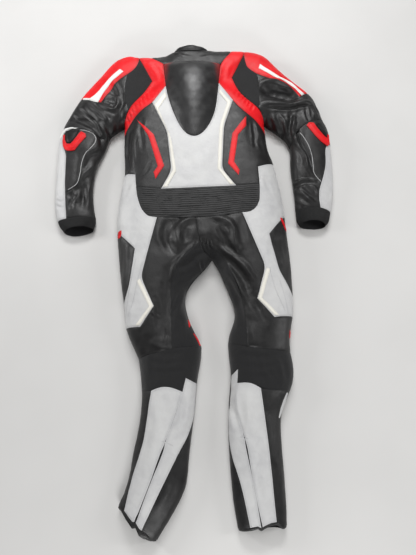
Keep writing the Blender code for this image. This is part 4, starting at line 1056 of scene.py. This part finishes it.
def dress(name, slot, panels=None):
    # makes a node's finished panel; a trim is laid on the panels that are given
    trim, pad = isTrim(name), "elbow_pad" in name
    bm = panelSkin(name)
    cutArea[name] = sum(f.calc_area() for f in bm.faces)
    bm.normal_update()
    points = np.array([v.co for v in bm.verts]) / mm
    if pad:
        points[:, :2] += puffs["pad"]["grow"] * (points[:, :2] - points[:, :2].mean(0))
    normals = np.array([v.normal for v in bm.verts])
    seam = seamDistances(bm, points)
    moved = points + normals * panelRise(name, points, normals, seam)[:, None]
    moved[:, :2] += trimShift.get(name, (0, 0))
    if panels:
        moved = laidTrim(moved, seam, panels)
    moved = settled(name, points, moved)
    for v, place in zip(bm.verts, moved):
        v.co = place * mm
    keepNumbers(bm, "seamDistance", seam)
    # the lumbar's rib height also places the painted shade in its rib valleys
    if name == "lumbar":
        keepNumbers(bm, "ribHeight", ribRise(points))
    if name == "hump":
        keepNumbers(bm, "redFade", redFade(points, seam))
    bm.normal_update()
    if slot in threadFor and not pad:
        tree = BVHTree.FromBMesh(bm)
        for loop in boundaryLoops(bm):
            sewAlong(loop, bm, tree, stitch["fromTrimEdge" if trim else "fromSeam"], threadFor[slot])
    thicken(bm, skins["trimThickness" if panels else "thickness"])
    for v in bm.verts:
        v.co.z = max(v.co.z, skins["floorGap"] * mm)
    piece = newObject(name + "_panel", bm)
    piece.data.materials.append(materials["black_dull" if pad or name == "collar" else slot])
    piece.data.materials.append(materials["lining"])
    thinInside(piece)
    piece.data.set_sharp_from_angle(angle=math.radians(skins["smoothAngle"]))
    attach(piece, "root")
    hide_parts(name)
    pieces[name] = piece


slots = {part["node"]: part["material_slot"] for part in frame["record"]["subparts"]}
laidTrims = [name for name in sorted(nodes) if isTrim(name) and "elbow" not in name]
for name in sorted(nodes):
    if name not in laidTrims:
        dress(name, slots[name])
panelTree = surfaceTree(pieces)
for name in laidTrims:
    dress(name, slots[name], panelTree)
print("panels dressed:", len(pieces), "triangles:",
      sum(sum(len(p.vertices) - 2 for p in o.data.polygons) for o in pieces.values()))


# strips, seam lines and stitches lie on the panels that were just made

upper = surfaceTree(pieces)


def finishPiece(bm, name, slot, material=None):
    for f in bm.faces:
        f.smooth, f.material_index = True, 0
    piece = newObject(name, bm)
    piece.data.materials.append(materials[material or slot])
    piece.data.set_sharp_from_angle(angle=math.radians(skins["smoothAngle"]))
    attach(piece, "root")
    return piece


stripShape = {"step": 2.5, "rows": 4, "edgeDrop": 0.75, "thickness": 1.0, "pipingThickness": 0.8}
strips = {      # points, half width along them, how far it stands up, slot where it isn't silver
    "thigh_flash_left": (((-250, 72), (-250, 62), (-252, 50)), (8, 8.5, 5), 1.2, "red_leather"),
    "thigh_flash_right": (((273, 117), (283, 100), (291, 80)), (4.5, 6, 4), 1.2, "red_leather"),
    "knee_flash_left_top": (((-25, -214), (-21, -225), (-21, -238)), (1, 3.4, 1), 1.0, "red_leather"),
    "knee_flash_left_low": (((-8, -256), (3, -272), (12, -292)), (1.0, 2.6, 1.5), 1.0, "red_leather"),
    "knee_flash_right": (((286, -246), (287, -258), (285, -270)), (1, 2.8, 1), 1.0, "red_leather"),
    "shin_flash_right": (((268, -430), (260, -450), (250, -475), (240, -500)), (2, 5, 5, 1.5), 1.2),
    "elbow_arc_left": (((-478, 424), (-471, 442), (-452, 452), (-434, 453), (-418, 450)),
                       (2.5, 5.0, 4.5, 3.0, 1.0), 2.4, "white_leather"),
    "hip_seam_left_outer": (((-187, -30), (-200, -92), (-210, -145), (-214, -191)), (1.1,), 0.9),
    "hip_seam_left_inner": (((-167, -37), (-180, -101), (-192, -158), (-208, -208)), (1.1,), 0.9),
    "hip_seam_right_outer": (((256, -98), (273, -158), (279, -197)), (1.1,), 0.9),
    "hip_seam_right_inner": (((225, -59), (241, -126), (270, -192)), (1.1,), 0.9),
    "zip_tack_left": (((-92, -560), (-77, -566), (-62, -572)), (0.8, 1.3, 0.8), 0.9),
    "zip_tack_right": (((126, -551), (137, -548), (148, -555)), (0.8, 1.3, 0.8), 0.9),
    "piping_left": (((-404, 444), (-385, 441), (-363, 432), (-351, 417), (-352, 398), (-366, 374),
                     (-383, 348), (-392, 312), (-395, 267), (-404, 240), (-430, 222)), (0.9,), 1.2),
    "piping_right": (((353, 434), (357, 428), (364, 417), (378, 388), (388, 350), (391, 310),
                      (394, 282), (414, 252)), (0.9,), 1.2),
}


def waysAlong(path):
    # the direction of a path at each of its points
    ways = np.gradient(path, axis=0)
    return ways / np.linalg.norm(ways, axis=1)[:, None]


def beside(point, way, offset):
    return point + np.array((-way[1], way[0])) * offset


def layStrip(name, points, halfWidths, rise, slot="silver_leather"):
    # a strip of leather or piping that follows the surface under it
    path = smoothPath(points, stripShape["step"])
    widths = np.interp(np.linspace(0, 1, len(path)), np.linspace(0, 1, len(halfWidths)), halfWidths)
    ways = waysAlong(path)
    bm = bmesh.new()
    bmesh.ops.create_grid(bm, x_segments=len(path) - 1, y_segments=stripShape["rows"], size=1)
    for v in bm.verts:
        k = round((v.co.x + 1) / 2 * (len(path) - 1))
        side = v.co.y
        place, normal = laidAt(*beside(path[k], ways[k], side * widths[k]), upper)
        v.co = place + normal * (rise * (1 - stripShape["edgeDrop"] * side ** 4) * mm)
    bmesh.ops.recalc_face_normals(bm, faces=bm.faces[:])
    if sum(f.normal.z for f in bm.faces) < 0:
        bmesh.ops.reverse_faces(bm, faces=bm.faces[:])
    thicken(bm, stripShape["pipingThickness" if "piping" in name else "thickness"])
    return finishPiece(bm, name, slot)


stripPieces = {name: layStrip(name, *row) for name, row in strips.items()}


def copies(template, places):
    # many copies of a small shape, each at a place with its way and normal
    template.verts.index_update()
    corners = np.array([v.co for v in template.verts])
    faces = np.array([[v.index for v in f.verts] for f in template.faces])
    template.free()
    out, rows = [], []
    for k, (place, way, normal) in enumerate(places):
        across = np.cross(normal, way)
        across /= max(np.linalg.norm(across), 1e-9)
        out.append(place + corners @ np.array([np.cross(across, normal), across, normal]))
        rows.append(faces + k * len(corners))
    mesh = bpy.data.meshes.new("copies")
    mesh.from_pydata(np.vstack(out), [], np.vstack(rows).tolist())
    bm = loaded(mesh)
    bpy.data.meshes.remove(mesh)
    return bm


def stitchShape():
    bm = bmesh.new()
    bmesh.ops.create_uvsphere(bm, u_segments=4, v_segments=3, radius=1)
    bmesh.ops.triangulate(bm, faces=bm.faces[:])
    bmesh.ops.rotate(bm, verts=bm.verts, matrix=Matrix.Rotation(math.pi / 2, 3, "Y"))
    bmesh.ops.scale(bm, verts=bm.verts, vec=[stitch[key] / 2 * mm for key in ("length", "width", "height")])
    bmesh.ops.translate(bm, verts=bm.verts, vec=(0, 0, stitch["lift"] * mm))
    return bm


for thread, places in threads.items():
    places = [row for row in places if row[0][2] > stitch["offFloor"] * mm]
    finishPiece(copies(stitchShape(), places), "stitches_" + thread, threadSlots[thread], thread)
    print(thread, len(places), "stitches")


teeth = {      # in mm; the last two are how far a row stops short of the slit's ends
    "pitch": 2.6, "apart": 1.25, "size": (1.3, 2.3, 1.2), "edge": 0.35, "lift": 0.35,
    "fromTop": 6, "fromHem": 4,
}


def toothShape():
    bm = bmesh.new()
    bmesh.ops.create_cube(bm, size=1)
    bmesh.ops.scale(bm, verts=bm.verts, vec=[d * mm for d in teeth["size"]])
    top = [e for e in bm.edges if all(v.co.z > 0 for v in e.verts)]
    bmesh.ops.bevel(bm, geom=top, offset=teeth["edge"] * mm, affect="EDGES", segments=1, profile=0.5,
                    material=-1)
    bmesh.ops.triangulate(bm, faces=bm.faces[:])
    return bm


def zipRow(name, points, tree):
    # teeth that point to one side and the other in turn
    path = smoothPath(points, teeth["pitch"])
    places = []
    for k, (point, way) in enumerate(zip(path, waysAlong(path))):
        place, normal = laidAt(*beside(point, way, teeth["apart"] * (1 if k % 2 else -1)), tree)
        place = place + normal * teeth["lift"] * mm
        places.append((np.array(place), np.array((way[0], way[1], 0.0)), np.array(normal)))
    return finishPiece(copies(toothShape(), places), name, "zip_tape", "zip_metal")


for side in ("left", "right"):
    (x0, y0), (x1, y1) = slits[side]["line"]
    zipRow("zip_teeth_calf_" + side,
           ((x0, y0 - teeth["fromTop"]), ((x0 + x1) / 2, (y0 + y1) / 2), (x1, y1 + teeth["fromHem"])),
           surfaceTree(["zip_calf_" + side]))
print("trims, stitches and zips ready")

# every panel is a sheet that was cut flat: width and length in metres, and what it lies on

cuts = {
    "back_centre": (0.283, 0.410), "yoke_back": (0.300, 0.110), "hump": (0.240, 0.340),
    "lumbar": (0.402, 0.120), "collar": (0.300, 0.060), "zip_front": (0.015, 0.720),
}
pairCuts = {      # the left one, then the right one
    "side_back": ((0.210, 0.340), (0.200, 0.340)), "yoke_red": ((0.130, 0.400), (0.130, 0.410)),
    "shoulder_stretch": ((0.100, 0.220), (0.100, 0.225)), "hip": ((0.170, 0.540), (0.180, 0.550)),
    "seat": ((0.240, 0.460), (0.260, 0.450)), "inner_leg": ((0.120, 0.360), (0.100, 0.370)),
    "thigh_outer": ((0.090, 0.250), (0.100, 0.280)), "knee_back": ((0.220, 0.140), (0.220, 0.145)),
    "calf_outer": ((0.095, 0.360), (0.108, 0.380)), "calf_inner": ((0.080, 0.400), (0.085, 0.420)),
    "zip_calf": ((0.010, 0.222), (0.010, 0.235)), "hem": ((0.350, 0.012), (0.330, 0.012)),
    "sleeve_top": ((0.160, 0.300), (0.150, 0.300)), "sleeve_upper": ((0.220, 0.280), (0.240, 0.290)),
    "forearm_back": ((0.120, 0.245), (0.130, 0.260)), "forearm_silver": ((0.080, 0.360), (0.065, 0.260)),
    "cuff": ((0.270, 0.045), (0.250, 0.058)), "front": ((0.260, 0.680), (0.320, 0.700)),
    "thigh_front": ((0.330, 0.490), (0.330, 0.480)), "shin_front": ((0.330, 0.530), (0.330, 0.510)),
    "sleeve_front": ((0.240, 0.750), (0.240, 0.750)),
}
for name, (left, right) in pairCuts.items():
    cuts[name + "_left"], cuts[name + "_right"] = left, right
onFloor = ("front", "thigh_front", "shin_front", "sleeve_front", "cuff", "hem", "zip_front")
under = {        # the underside panel below each of the others
    "calf": "shin_front", "zip_calf": "shin_front", "knee": "shin_front", "seat": "thigh_front",
    "inner_leg": "thigh_front", "thigh_outer": "thigh_front", "hip": "thigh_front",
    "sleeve_top": "sleeve_front", "sleeve_upper": "sleeve_front", "forearm": "sleeve_front",
}
carried = {      # what is sewn on each panel
    "back_centre": ("centre_bar_left", "centre_bar_right"), "side_back": ("red_bolt",), "hip": ("hip_bar",),
    "sleeve_top": ("sleeve_stripe",), "forearm_back": ("elbow_ring", "elbow_pad"),
}
sewnOn = {
    "thigh_outer_left": ("thigh_flash_left",), "thigh_outer_right": ("thigh_flash_right",),
    "inner_leg_left": ("knee_flash_left_top", "knee_flash_left_low"), "seat_right": ("knee_flash_right",),
    "shin_front_right": ("shin_flash_right",), "forearm_back_left": ("piping_left", "elbow_arc_left"),
    "forearm_back_right": ("piping_right",),
    "hip_left": ("hip_seam_left_outer", "hip_seam_left_inner"),
    "hip_right": ("hip_seam_right_outer", "hip_seam_right_inner"),
    "calf_outer_left": ("zip_tack_left",), "calf_outer_right": ("zip_tack_right",),
}


def declareSheets():
    for name, flat in cuts.items():
        side = "_left" if name.endswith("_left") else "_right"
        below = next((under[key] + side for key in under if name.startswith(key)), None)
        if name.startswith(onFloor):
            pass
        elif below:
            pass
        else:
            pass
        trims = [pieces[t if t in pieces else t + side]
                 for key, row in carried.items() if name.startswith(key) for t in row]
        trims += [stripPieces[t] for t in sewnOn.get(name, ())]
        if name.startswith("zip_calf"):
            trims.append(bpy.data.objects["zip_teeth_calf" + side])


declareSheets()
print("sheets declared:", len(cuts))
